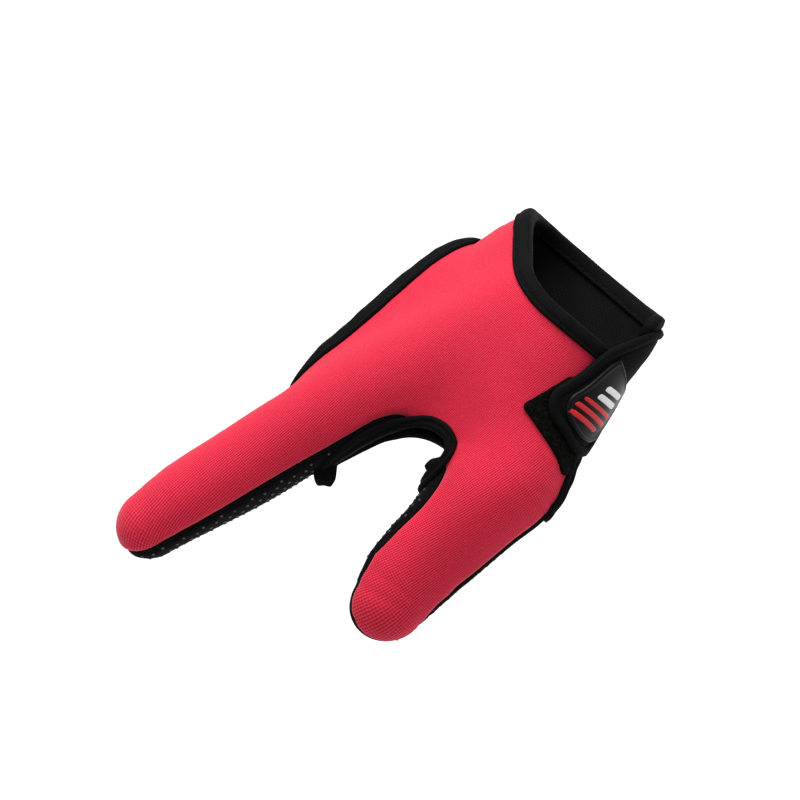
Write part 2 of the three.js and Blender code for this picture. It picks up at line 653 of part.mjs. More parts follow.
// Ends of folded tape that stand out of a seam, as small cushions on the glove's surface
function tapeEnd(name, target, halfLength, halfWidth, halfDepth) {
  const geometry = new THREE.SphereGeometry(1, 12, 8);
  geometry.deleteAttribute("normal");
  geometry.deleteAttribute("uv");
  const mesh = meshOf(name, mergeVertices(geometry), "tape");
  const { x, y, z, normal } = ontoHand(target);
  const out = OUTSIDE + GAP + halfDepth;
  const up = new THREE.Vector3(normal.x, normal.y, normal.z);
  mesh.position.set(x, y, z).addScaledVector(up, out);
  mesh.quaternion.setFromUnitVectors(new THREE.Vector3(0, 0, 1), up);
  mesh.scale.set(halfLength, halfWidth, halfDepth);
  glove.add(mesh);
}

const seamPoint = (x, y, z) => ({ x: x * HAND_LENGTH, y: y * HAND_WIDTH, z: z * HAND_DEPTH });
tapeEnd("index_tape_end", seamPoint(-1.42, -0.46, -0.38), 3.4, 2.6, 2);
tapeEnd("thumb_tape_end", seamPoint(-0.98, -0.69, -0.45), 2.6, 3.0, 1.8);
tapeEnd("ulnar_tape_end", seamPoint(-0.257, 0.38, 0.08), 2.2, 1.8, 1.2);

export default glove;
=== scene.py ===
"""Looks of the two-finger fishing glove, worked out in millimetres in the frame of the CAD model."""
import itertools
import math
import bpy
import numpy as np
from mathutils import Matrix, Vector


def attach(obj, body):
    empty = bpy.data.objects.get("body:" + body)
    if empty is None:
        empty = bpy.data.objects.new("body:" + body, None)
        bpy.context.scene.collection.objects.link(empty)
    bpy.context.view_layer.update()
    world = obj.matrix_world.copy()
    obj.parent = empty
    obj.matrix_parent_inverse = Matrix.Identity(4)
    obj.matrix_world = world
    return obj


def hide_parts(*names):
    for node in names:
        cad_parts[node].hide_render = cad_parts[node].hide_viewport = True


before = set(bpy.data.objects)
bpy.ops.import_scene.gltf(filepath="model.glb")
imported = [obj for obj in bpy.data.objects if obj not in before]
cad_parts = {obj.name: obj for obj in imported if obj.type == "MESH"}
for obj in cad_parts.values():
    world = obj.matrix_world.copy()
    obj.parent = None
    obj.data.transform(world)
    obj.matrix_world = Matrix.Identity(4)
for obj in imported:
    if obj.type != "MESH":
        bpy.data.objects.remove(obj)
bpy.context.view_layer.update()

MM = 0.001


def unit(v):
    v = np.asarray(v, float)
    return v / np.linalg.norm(v, axis=-1, keepdims=True)


def dot(a, b):
    return np.einsum("...i,...i->...", a, b)


def tangential(v, normal):
    """The part of v that lies across the normal."""
    return v - normal * dot(v, normal)[..., None]


def smoothstep(x, low, high):
    t = np.clip((x - low) / (high - low), 0, 1)
    return t * t * (3 - 2 * t)


def bump_at(x, centre, width):
    return np.exp(-((x - centre) / width) ** 2)


# Camera: the photograph's direction, with its up direction and its framing
VIEW_FROM = unit([0.0, -0.766, 0.643])
VIEW_UP = unit([0.331, 0.607, 0.723])
VIEW_CENTRE = np.array([-69.2, -12.1, -14.4])
VIEW_DISTANCE = 1000
VIEW_ANGLE = 14.42
CLIP = (0.05, 20)

camera = bpy.data.objects.new("camera", bpy.data.cameras.new("camera"))
bpy.context.scene.collection.objects.link(camera)
eye = VIEW_FROM * VIEW_DISTANCE
back = unit(eye - VIEW_CENTRE)
right = unit(np.cross(VIEW_UP, back))
up = np.cross(back, right)
rows = [[right[n], up[n], back[n], eye[n] * MM] for n in range(3)]
camera.matrix_world = Matrix([*rows, [0, 0, 0, 1]])
camera.data.angle = math.radians(VIEW_ANGLE)
camera.data.clip_start, camera.data.clip_end = CLIP
bpy.context.scene.camera = camera

# Driving sizes, as in the CAD source
HAND_LENGTH = 72
HAND_WIDTH = 80
HAND_DEPTH = 32
WRIST_WIDTH = 60
WRIST_DEPTH = 41
INDEX_LENGTH = 84
INDEX_WIDTH = 26
THUMB_LENGTH = 56
THUMB_WIDTH = 29
BACK_WALL = 2.5
PALM_WALL = 1.5
GAP = 0.3
TAPE = 0.8
BINDING_WIDTH = 4.5
STRAP_WIDTH = 24
STRAP_WALL = 1.2
BADGE_WALL = 0.6
MARK_WALL = 0.3
OUTSIDE = BACK_WALL / 2

# Sections of the limbs: x, y, z of the centre, half width, half depth, and where the seam runs
PALM_ROWS = [
    (0.68, 0.24, 0.32, 0.40, 0.30, 0),
    (0.30, 0.10, 0.13, 0.37, 0.265, 0),
    (0.0, 0.015, 0.0, 0.36, 0.25, 0),
    (-0.22, 0.0, -0.02, 0.36, 0.23, 0),
    (-0.47, -0.045, -0.03, 0.345, 0.205, 0),
    (-0.75, 0.06, -0.02, 0.43, 0.19, 0),
    (-1.1, 0.11, -0.02, 0.44, 0.165, 0),
]
INDEX_ROWS = [
    (0.55, 0.10, -0.01, 0.46, 0.50, -0.4),
    (0.0, 0.0, 0.01, 0.47, 0.475, 0.05),
    (-0.25, -0.03, -0.01, 0.48, 0.465, -0.12),
    (-0.5, -0.06, -0.045, 0.48, 0.46, -0.1),
    (-0.78, -0.095, -0.091, 0.465, 0.425, -0.14),
    (-0.975, -0.122, -0.132, 0.41, 0.355, -0.12),
]
THUMB_ROWS = [
    (0.58, 0.66, 0.24, 0.48, 0.48, 0.1),
    (0.25, 0.33, 0.10, 0.52, 0.50, 0.25),
    (0.0, 0.0, 0.0, 0.50, 0.46, 0.35),
    (-0.19, -0.08, -0.04, 0.485, 0.44, 0.35),
    (-0.69, -0.232, -0.196, 0.44, 0.38, 0.25),
    (-0.87, -0.352, -0.273, 0.36, 0.32, -0.1),
]
WEB_ROWS = [
    (0.0, 0.0, 0.0, 0.30, 0.25, -0.5),
    (-0.5, -0.22, -0.05, 0.30, 0.24, -0.5),
    (-1.0, -0.38, -0.1, 0.26, 0.21, -0.5),
]
WEB_LENGTH = 26
WEB_WIDTH = 34
FOREARM = unit([0.86, 0.33, 0.38])
WEB_ROOT = np.array([-0.43 * HAND_LENGTH, -0.32 * HAND_WIDTH, -0.25 * HAND_DEPTH])
INDEX_KNUCKLE = np.array([-HAND_LENGTH, -0.298 * HAND_WIDTH, 0.04 * HAND_DEPTH])
THUMB_KNUCKLE = np.array([-0.59 * HAND_LENGTH, -0.69 * HAND_WIDTH, -0.69 * HAND_DEPTH])


class Curve:
    """A centripetal Catmull-Rom curve through points."""

    def __init__(self, points):
        self.points = np.asarray(points, float)

    def point(self, t):
        pts = self.points
        last = len(pts) - 1
        place = min(max(t, 0), 1) * last
        i = min(int(place), last - 1)
        w = place - i
        p1, p2 = pts[i], pts[i + 1]
        p0 = pts[i - 1] if i > 0 else 2 * pts[0] - pts[1]
        p3 = pts[i + 2] if i + 2 <= last else 2 * pts[last] - pts[last - 1]
        d0, d1, d2 = (max(np.linalg.norm(b - a), 1e-8) ** 0.5 for a, b in ((p0, p1), (p1, p2), (p2, p3)))
        t1 = ((p1 - p0) / d0 - (p2 - p0) / (d0 + d1) + (p2 - p1) / d1) * d1
        t2 = ((p2 - p1) / d1 - (p3 - p1) / (d1 + d2) + (p3 - p2) / d2) * d1
        return p1 + t1 * w + (-3 * p1 + 3 * p2 - 2 * t1 - t2) * w**2 + (2 * p1 - 2 * p2 + t1 + t2) * w**3

    def tangent(self, t):
        return unit(self.point(min(t + 1e-4, 1)) - self.point(max(t - 1e-4, 0)))


def limb(rows, start, length, width, dorsal, steps):
    """Sections along a limb: centre, directions of its back and across, half width, half depth and seam."""
    rows = np.array(rows)
    line = Curve(rows[:, :3] * length + start)
    sizes = Curve(rows[:, 3:] * [width, width, 1])
    sections = []
    for i in range(steps + 1):
        along = line.tangent(i / steps)
        rise = unit(tangential(dorsal, along))
        side = unit(np.cross(along, rise))
        sections.append((line.point(i / steps), rise, side, sizes.point(i / steps)))
    return sections


# Rows, start, length, width, direction of the back and number of steps
LIMBS = [
    limb(PALM_ROWS, np.zeros(3), HAND_LENGTH, HAND_WIDTH, np.array([0, 0, 1.0]), 14),
    limb(INDEX_ROWS, INDEX_KNUCKLE, INDEX_LENGTH, INDEX_WIDTH, unit([0, 0.157, 0.988]), 12),
    limb(WEB_ROWS, WEB_ROOT, WEB_LENGTH, WEB_WIDTH, unit([0.05, -0.45, 0.89]), 14),
    limb(THUMB_ROWS, THUMB_KNUCKLE, THUMB_LENGTH, THUMB_WIDTH, unit([0.13, -0.775, 0.61]), 12),
]


TIP_FULLNESS = 1.2


def to_segment(p, c0, c1):
    """Share of the way along the segment, offset from there, and the segment."""
    step = c1 - c0
    from_start = p - c0
    t = np.clip(from_start @ step / (step @ step), 0, 1)
    return t, from_start - t[:, None] * step, step


def to_limb(p, sections):
    """Distance from the limb's surface, and height over the seam that runs along it."""
    best = np.full(len(p), np.inf)
    best_height = np.zeros(len(p))
    for (c0, u0, s0, z0), (c1, u1, s1, z1) in zip(sections, sections[1:]):
        t, offset, step = to_segment(p, c0, c1)
        side = (offset @ s0) * (1 - t) + (offset @ s1) * t
        height = (offset @ u0) * (1 - t) + (offset @ u1) * t
        past = offset @ step / math.sqrt(step @ step)
        wide = z0[0] + (z1[0] - z0[0]) * t
        deep = z0[1] + (z1[1] - z0[1]) * t
        tip = np.minimum(wide, TIP_FULLNESS * deep)
        k0 = np.sqrt((side / wide) ** 2 + (height / deep) ** 2 + (past / tip) ** 2)
        k1 = np.sqrt((side / wide**2) ** 2 + (height / deep**2) ** 2 + (past / tip**2) ** 2)
        distance = np.where(k1 > 1e-9, k0 * (k0 - 1) / np.maximum(k1, 1e-9), -deep)
        nearer = distance < best
        best = np.where(nearer, distance, best)
        best_height = np.where(nearer, height - deep * (z0[2] + (z1[2] - z0[2]) * t), best_height)
    return best, best_height


def smooth_min(a, b, radius):
    h = np.maximum(radius - np.abs(a - b), 0) / radius
    return np.minimum(a, b) - h * h * radius / 4


def smooth_max(a, b, radius):
    return -smooth_min(-a, -b, radius)


FINGER_BLEND = 14
THUMB_BLEND = 22
HEIGHT_BLEND = 4
PROBE = 0.4


def hand(p):
    """Distance from the middle of the fabric, negative inside, and height on the back of the hand."""
    found = [to_limb(p, sections) for sections in LIMBS]
    palm, index, web, thumb = (distance for distance, _ in found)
    distance = smooth_min(smooth_min(palm, index, FINGER_BLEND), web, FINGER_BLEND)
    distance = smooth_min(distance, thumb, THUMB_BLEND)
    nearest = np.minimum(np.minimum(palm, index), np.minimum(web, thumb))
    weights = [np.exp((nearest - d) / HEIGHT_BLEND) for d, _ in found]
    height = sum(w * h for w, (_, h) in zip(weights, found)) / sum(weights)
    return distance, height


def hand_distance(p):
    return hand(p)[0]


def gradient(p, field):
    """Slope of the field at each point. All six neighbours of each point are looked up in one call."""
    shifts = np.concatenate([np.eye(3), -np.eye(3)]) * PROBE
    values = field((p[None] + shifts[:, None]).reshape(-1, 3)).reshape(6, len(p))
    return ((values[:3] - values[3:]) / (2 * PROBE)).T


def onto_hand(p, rounds=2):
    """The points moved onto the surface of the hand, and the normals there."""
    p = np.array(p, float)
    for _ in range(rounds):
        slope = gradient(p, hand_distance)
        size = np.linalg.norm(slope, axis=1, keepdims=True)
        normal = slope / size
        p = p - normal * hand_distance(p)[:, None] / size
    return p, normal


# Fields that bound the layers, as in the CAD source, negative where the fabric is
WRIST_SHIFT = 3
WRIST_CUT = 18
BARE_CENTRE = np.array([-2.56 * HAND_LENGTH, 2.68 * HAND_WIDTH])
BARE_RADIUS = 3.025 * HAND_WIDTH
BARE_END = -1.42 * HAND_LENGTH
BARE_BLEND = 12


def wrist_edge(p):
    across = smoothstep(-p[:, 1], -0.45 * WRIST_WIDTH, 0.45 * WRIST_WIDTH)
    on_back = smoothstep(hand(p)[1], -0.1 * WRIST_DEPTH, 0.12 * WRIST_DEPTH)
    return p @ FOREARM + WRIST_CUT * across * on_back - WRIST_SHIFT


def bare_edge(p):
    round_cut = BARE_RADIUS - np.linalg.norm(p[:, :2] - BARE_CENTRE, axis=1)
    return smooth_min(round_cut, p[:, 0] - BARE_END, BARE_BLEND)


OPENING_ROWS = np.array([
    (-1.29, -0.46, -0.28, 0.08),
    (-1.12, -0.46, -0.34, 0.26),
    (-0.91, -0.495, -0.41, 0.35),
    (-0.80, -0.565, -0.44, 0.24),
    (-0.83, -0.61, -0.36, 0.08),
])
OPENING_LINE = Curve(OPENING_ROWS[:, :3] * [HAND_LENGTH, HAND_WIDTH, HAND_DEPTH])
OPENING_RADII = Curve(OPENING_ROWS[:, 3:] * [[HAND_DEPTH, 0, 0]])
OPENING_BALLS = [(OPENING_LINE.point(i / 16), OPENING_RADII.point(i / 16)[0]) for i in range(17)]


def web_edge(p):
    """How far each point is inside the balls along the opening between thumb and index finger."""
    best = np.full(len(p), -np.inf)
    for (c0, r0), (c1, r1) in zip(OPENING_BALLS, OPENING_BALLS[1:]):
        t, offset, _ = to_segment(p, c0, c1)
        best = np.maximum(best, r0 + (r1 - r0) * t - np.linalg.norm(offset, axis=1))
    return best


SLIT_END = -0.56 * HAND_LENGTH
SLIT_MOUTH = 0.05 * HAND_LENGTH
SLIT_SIDE = 0.2 * HAND_WIDTH
SLIT_HALF = 5
SLIT_BLEND = 6


def slit_half(p):
    """Half the slit's opening at the thumb side, which narrows from its mouth to its end."""
    beyond = p[:, 0] - SLIT_END
    length = SLIT_MOUTH - SLIT_END
    half = np.where(beyond < 0, beyond, SLIT_HALF * np.minimum(beyond, length) / length)
    return half - np.maximum(0, p[:, 1] + SLIT_SIDE)


def back_wrist(p):
    return smooth_max(wrist_edge(p), slit_half(p) - hand(p)[1], SLIT_BLEND)


def palm_wrist(p):
    return smooth_max(wrist_edge(p), slit_half(p) + hand(p)[1], SLIT_BLEND)


LEAST_SLOPE = 0.35


def on_surface(field, p, normal):
    """The field as a distance along the surface."""
    flat = tangential(gradient(p, field), normal)
    return field(p) / np.maximum(np.linalg.norm(flat, axis=1), LEAST_SLOPE)


# The shared surface
def surface_net(low, high, cell):
    """Quads of the hand's surface, with one corner in each grid cell that it crosses."""
    low = np.asarray(low, float)
    count = np.ceil((np.asarray(high) - low) / cell).astype(int) + 1
    axes = [low[n] + np.arange(count[n]) * cell for n in range(3)]
    grid = np.stack(np.meshgrid(*axes, indexing="ij"), -1).reshape(-1, 3)
    value = hand_distance(grid).reshape(count)
    total = np.zeros((*(count - 1), 3))
    crossings = np.zeros(count - 1)
    corners = np.array([[n & 1, n >> 1 & 1, n >> 2] for n in range(8)])
    edges = [(corners[n], corners[n | bit]) for n in range(8) for bit in (1, 2, 4) if not n & bit]
    for ca, cb in edges:
        va, vb = (value[tuple(slice(c[n], count[n] - 1 + c[n]) for n in range(3))] for c in (ca, cb))
        cross = (va < 0) != (vb < 0)
        t = np.where(cross, va / np.where(cross, va - vb, 1), 0)
        total += np.where(cross[..., None], ca + (cb - ca) * t[..., None], 0)
        crossings += cross
    active = crossings > 0
    number = np.full(count - 1, -1)
    number[active] = np.arange(active.sum())
    cells = np.argwhere(active)
    vertices = low + (cells + total[active] / crossings[active][:, None]) * cell
    quads = []
    inner = tuple(slice(1, c - 1) for c in count)
    steps = np.eye(3, dtype=int)
    for n in range(3):
        u, v = steps[n - 2], steps[n - 1]
        ahead = tuple(slice(2, c) if m == n else slice(1, c - 1) for m, c in enumerate(count))
        inside = value[inner] < 0
        here = np.argwhere(inside != (value[ahead] < 0)) + 1
        starts_inside = value[tuple(here.T)] < 0
        ring = np.stack([number[tuple((here - s).T)] for s in (u + v, v, 0 * u, u)], 1)
        quads.append(np.where(starts_inside[:, None], ring, ring[:, ::-1]))
    return vertices, np.concatenate(quads)


def sides_of(faces):
    """The directed sides of all faces."""
    count = faces.shape[1]
    return np.concatenate([faces[:, [n, (n + 1) % count]] for n in range(count)])


def edges_of(quads):
    pairs = sides_of(quads)
    pairs.sort(1)
    return np.unique(pairs, axis=0)


def even_out(p, quads, rounds):
    """Moves each corner towards its neighbours' mean, on the surface."""
    edges = edges_of(quads)
    count = np.bincount(edges.ravel(), minlength=len(p))[:, None]
    for _ in range(rounds):
        total = np.zeros_like(p)
        for a, b in (edges.T, edges.T[::-1]):
            np.add.at(total, a, p[b])
        p, _ = onto_hand((p + total / np.maximum(count, 1)) / 2, 1)
    return p


def finer(quads, *values):
    """Halves every quad. Values of new corners are means of their neighbours."""
    edges = edges_of(quads)
    n = len(values[0])
    keys = edges[:, 0] * n + edges[:, 1]

    def middle(a, b):
        low, high = np.minimum(a, b), np.maximum(a, b)
        return n + np.searchsorted(keys, low * n + high)

    mids = [middle(quads[:, k], quads[:, (k + 1) % 4]) for k in range(4)]
    centre = n + len(edges) + np.arange(len(quads))
    made = [np.stack([quads[:, k], mids[k], centre, mids[k - 1]], 1) for k in range(4)]
    a, b = edges.T
    grown = [np.concatenate([v, (v[a] + v[b]) / 2, v[quads].mean(1)]) for v in values]
    return np.concatenate(made), grown


def without_flaps(triangles):
    """Leaves out pairs of triangles that lie folded onto each other."""
    _, owner, count = np.unique(np.sort(triangles, 1), axis=0, return_inverse=True, return_counts=True)
    return triangles[count[owner.reshape(-1)] == 1]


class Sheet:
    """Triangles on the hand, with a normal and named values at each corner."""

    def __init__(self, p, normal, values, triangles):
        self.p, self.normal, self.values, self.triangles = p, normal, values, triangles

    def __getitem__(self, name):
        return self.values[name]

    def split(self, value, level=0.0, snap=0.05):
        """The sheet below the level and the sheet above it. Cuts close to a corner snap to it."""
        v = value - level
        n = len(v)
        inside = v < 0
        t = self.triangles
        number = inside[t].sum(1)
        below, above = [t[number == 3]], [t[number == 0]]
        mixed = t[(number == 1) | (number == 2)]
        single_below = inside[mixed].sum(1) == 1
        odd = np.argmax(inside[mixed] == single_below[:, None], 1)
        rows = np.arange(len(mixed))
        a, b, c = (mixed[rows, (odd + k) % 3] for k in range(3))

        def key(i, j):
            return np.minimum(i, j) * n + np.maximum(i, j)

        keys = np.unique(np.concatenate([key(a, b), key(a, c)]))
        i, j = keys // n, keys % n
        share = v[i] / (v[i] - v[j])
        length = np.linalg.norm(self.p[i] - self.p[j], axis=1)
        target = n + np.arange(len(keys))
        near = np.minimum(share, 1 - share) * length < snap
        target = np.where(near, np.where(share < 0.5, i, j), target)

        def grow(x):
            w = share if x.ndim == 1 else share[:, None]
            return np.concatenate([x, x[i] + (x[j] - x[i]) * w])

        ab = target[np.searchsorted(keys, key(a, b))]
        ac = target[np.searchsorted(keys, key(a, c))]
        single = np.stack([a, ab, ac], 1)
        double = np.concatenate([np.stack([ab, b, c], 1), np.stack([ab, c, ac], 1)])
        twice = np.concatenate([single_below, single_below])
        below += [single[single_below], double[~twice]]
        above += [single[~single_below], double[twice]]

        def made(parts):
            t = np.concatenate(parts)
            proper = (t[:, 0] != t[:, 1]) & (t[:, 1] != t[:, 2]) & (t[:, 2] != t[:, 0])
            values = {name: grow(x) for name, x in self.values.items()}
            return Sheet(grow(self.p), grow(self.normal), values, t[proper])

        return made(below), made(above)

    def below(self, name, level=0.0):
        return self.split(self.values[name], level)[0]

    def above(self, name, level=0.0):
        return self.split(self.values[name], level)[1]

    def scored(self, name, levels):
        """The same region with lines of edges where the value has these levels."""
        sheet = self
        for level in levels:
            low, high = sheet.split(sheet.values[name], level)
            sheet = Sheet(low.p, low.normal, low.values, np.concatenate([low.triangles, high.triangles]))
        return sheet

    def compact(self):
        used, t = np.unique(without_flaps(self.triangles), return_inverse=True)
        values = {name: x[used] for name, x in self.values.items()}
        return Sheet(self.p[used], self.normal[used], values, t.reshape(-1, 3))


def outline(triangles):
    """Edges that only one triangle has, in its direction."""
    pairs = sides_of(triangles)
    n = triangles.max() + 1
    forward = pairs[:, 0] * n + pairs[:, 1]
    backward = pairs[:, 1] * n + pairs[:, 0]
    return pairs[~np.isin(forward, backward)]


# Gentle waves of the worn fabric, the same for every layer
WAVES = 10
WAVE_SIZE = 0.11
rng = np.random.default_rng(7)
WAVE_TURNS = unit(rng.normal(size=(WAVES, 3))) * rng.uniform(0.10, 0.34, (WAVES, 1))
WAVE_PHASES = rng.uniform(0, 2 * math.pi, WAVES)


def waves(p):
    return WAVE_SIZE * np.sin(p @ WAVE_TURNS.T + WAVE_PHASES).sum(-1)


def lay(p, normal, depth):
    """Points at this depth over the middle of the fabric."""
    return p + normal * (depth + waves(p))[..., None]


# Mesh objects
def mesh_object(name, vertices, faces):
    mesh = bpy.data.meshes.new(name)
    mesh.from_pydata(np.asarray(vertices).tolist(), [], [list(map(int, f)) for f in faces])
    obj = bpy.data.objects.new(name, mesh)
    bpy.context.scene.collection.objects.link(obj)
    return obj


def corner_numbers(mesh):
    corners = np.zeros(len(mesh.loops), int)
    mesh.loops.foreach_get("vertex_index", corners)
    return corners


def piece(name, vertices, faces, material, nodes=(), uv=None):
    """A visible piece, from points in millimetres, in place of the named nodes."""
    obj = mesh_object(name, np.asarray(vertices) * MM, faces)
    mesh = obj.data
    mesh.validate()
    mesh.polygons.foreach_set("use_smooth", [True] * len(mesh.polygons))
    if uv is not None:
        layer = mesh.uv_layers.new(name="cloth")
        layer.data.foreach_set("uv", uv[corner_numbers(mesh)].astype(np.float32).ravel())
    mesh.materials.append(material)
    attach(obj, "root")
    if nodes:
        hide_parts(*nodes)


# Unrolling the cloth gives the direction of the knit and of the rows of dots
UV_SPAN = 300
RIB_PITCH = 0.6
LOOP_PITCH = 0.66
KNIT_TURN = -0.18
PAST_SEAM = 0.8
NEAR_CORNERS = 12


def unroll(p, quads, used):
    """Flat coordinates of the used corners."""
    numbers = np.full(len(p), -1)
    numbers[used] = np.arange(len(used))
    obj = mesh_object("unroll", p[used], numbers[quads])
    mesh = obj.data
    mesh.uv_layers.new(name="cloth")
    bpy.context.view_layer.objects.active = obj
    obj.select_set(True)
    bpy.ops.object.mode_set(mode="EDIT")
    bpy.ops.mesh.select_all(action="SELECT")
    bpy.ops.uv.unwrap(method="ANGLE_BASED", margin=0.0)
    bpy.ops.object.mode_set(mode="OBJECT")
    flat = np.zeros(len(mesh.loops) * 2, np.float32)
    mesh.uv_layers["cloth"].data.foreach_get("uv", flat)
    uv = np.zeros((len(used), 2))
    uv[corner_numbers(mesh)] = flat.reshape(-1, 2)
    bpy.data.objects.remove(obj)
    bpy.data.meshes.remove(mesh)
    return uv


def largest_patch(p, quads):
    """The quads that hang together in the largest patch."""
    a, b = edges_of(quads).T
    label = np.arange(len(p))
    while True:
        low = np.minimum(label[a], label[b])
        before = label.copy()
        np.minimum.at(label, a, low)
        np.minimum.at(label, b, low)
        label = label[label]
        if (before == label).all():
            break
    owner = label[quads[:, 0]]
    return quads[owner == np.bincount(owner).argmax()]


def fill_gaps(uv, quads, rounds):
    """Corners without a value take the mean of their neighbours."""
    edges = edges_of(quads)
    for _ in range(rounds):
        missing = np.isnan(uv[:, 0])
        total = np.zeros_like(uv)
        count = np.zeros(len(uv))
        for a, b in (edges.T, edges.T[::-1]):
            known = ~missing[b]
            np.add.at(total, a[known], uv[b[known]])
            np.add.at(count, a[known], 1)
        fill = missing & (count > 0)
        uv[fill] = total[fill] / count[fill, None]
    return np.nan_to_num(uv)


def cloth_map(p, quads, side, start, direction):
    """Flat coordinates in millimetres for one side of the glove. The first runs along direction at start."""
    chosen = largest_patch(p, quads[(side[quads] > -PAST_SEAM).any(1)])
    used = np.unique(chosen)
    uv = np.full((len(p), 2), np.nan)
    uv[used] = unroll(p, chosen, used)
    a, b = edges_of(chosen).T
    real = np.linalg.norm(p[a] - p[b], axis=1)
    drawn = np.linalg.norm(uv[a] - uv[b], axis=1)
    uv *= np.median(real / np.maximum(drawn, 1e-9))
    near = used[np.argsort(np.linalg.norm(p[used] - start, axis=1))[:NEAR_CORNERS]]
    mean, mean_uv = p[near].mean(0), uv[near].mean(0)
    turn, *_ = np.linalg.lstsq(p[near] - mean, uv[near] - mean_uv, rcond=0.05)
    across = unit(direction @ turn)
    uv = np.stack([uv @ across, uv @ [-across[1], across[0]]], 1)
    return fill_gaps(uv, quads, 4)


# The shared surface, ready to be cut into panels
CELL = 4.4
REACH = 9
BACK_MIDDLE = np.array([-60.0, -20.0, 14.0])
PALM_MIDDLE = np.array([-50.0, -10.0, -16.0])
KNIT_DIRECTION = unit(right * 0.80 + up * 0.60)
DOT_DIRECTION = np.array([1.0, 0, 0])
# The seam at the thumb's tip: its lift, and the spans of -x and -y where it is evened out and lifted
TIP_LIFT = 1.15
TIP_CALM = ((66, 74), (52, 58))
TIP_SEAM = ((54, 72), (47, 58))
CALM_ROUNDS = 40


def near_tip(p, spans):
    """A share that grows to 1 within the spans."""
    return smoothstep(-p[:, 0], *spans[0]) * smoothstep(-p[:, 1], *spans[1])


def calm_tip(p, quads, height):
    """The height with its steps at the thumb's tip evened out, and the seam there nearer the back."""
    a, b = edges_of(quads).T
    count = np.bincount(a, minlength=len(p)) + np.bincount(b, minlength=len(p))
    calm = height.copy()
    for _ in range(CALM_ROUNDS):
        total = np.bincount(a, calm[b], len(p)) + np.bincount(b, calm[a], len(p))
        calm = (calm + total / np.maximum(count, 1)) / 2
    return height + near_tip(p, TIP_CALM) * (calm - height) - TIP_LIFT * near_tip(p, TIP_SEAM)


def shared_sheet():
    low = (-HAND_LENGTH - INDEX_LENGTH - 20, -HAND_WIDTH * 1.35, -HAND_DEPTH * 2.1)
    high = (62, HAND_WIDTH * 0.75, HAND_DEPTH * 1.9)
    p, quads = surface_net(low, high, CELL)
    p, _ = onto_hand(p)
    p = even_out(p, quads, 8)
    p, _ = onto_hand(p)
    height = hand(p)[1]
    wrist = np.where(height > 0, back_wrist(p), palm_wrist(p))
    field = np.maximum(np.maximum(bare_edge(p), web_edge(p)), wrist)
    quads = quads[(field[quads] < REACH).any(1)]
    back_uv = cloth_map(p, quads, height, BACK_MIDDLE, KNIT_DIRECTION)
    palm_uv = cloth_map(p, quads, -height, PALM_MIDDLE, DOT_DIRECTION)
    for _ in range(2):
        quads, (p, back_uv, palm_uv) = finer(quads, p, back_uv, palm_uv)
    p, normal = onto_hand(p)
    height = calm_tip(p, quads, hand(p)[1])
    edges = {"bare": bare_edge, "web": web_edge, "back_wrist": back_wrist, "palm_wrist": palm_wrist}
    values = {name: on_surface(field, p, normal) for name, field in edges.items()}
    values["wrist"] = np.where(height > 0, values["back_wrist"], values["palm_wrist"])
    values.update(height=height, back_uv=back_uv, palm_uv=palm_uv)
    a, b, c, d = quads.T
    short = np.linalg.norm(p[a] - p[c], axis=1) < np.linalg.norm(p[b] - p[d], axis=1)
    first = np.where(short[:, None], quads[:, [0, 1, 2]], quads[:, [0, 1, 3]])
    second = np.where(short[:, None], quads[:, [0, 2, 3]], quads[:, [1, 2, 3]])
    return Sheet(p, normal, values, np.concatenate([first, second]))


SHEET = shared_sheet()


# Materials
def bands(span, pitch):
    """Scale of a wave texture with this pitch in millimetres, where one unit of its coordinates is span."""
    return 2 * math.pi / 20 * span / pitch


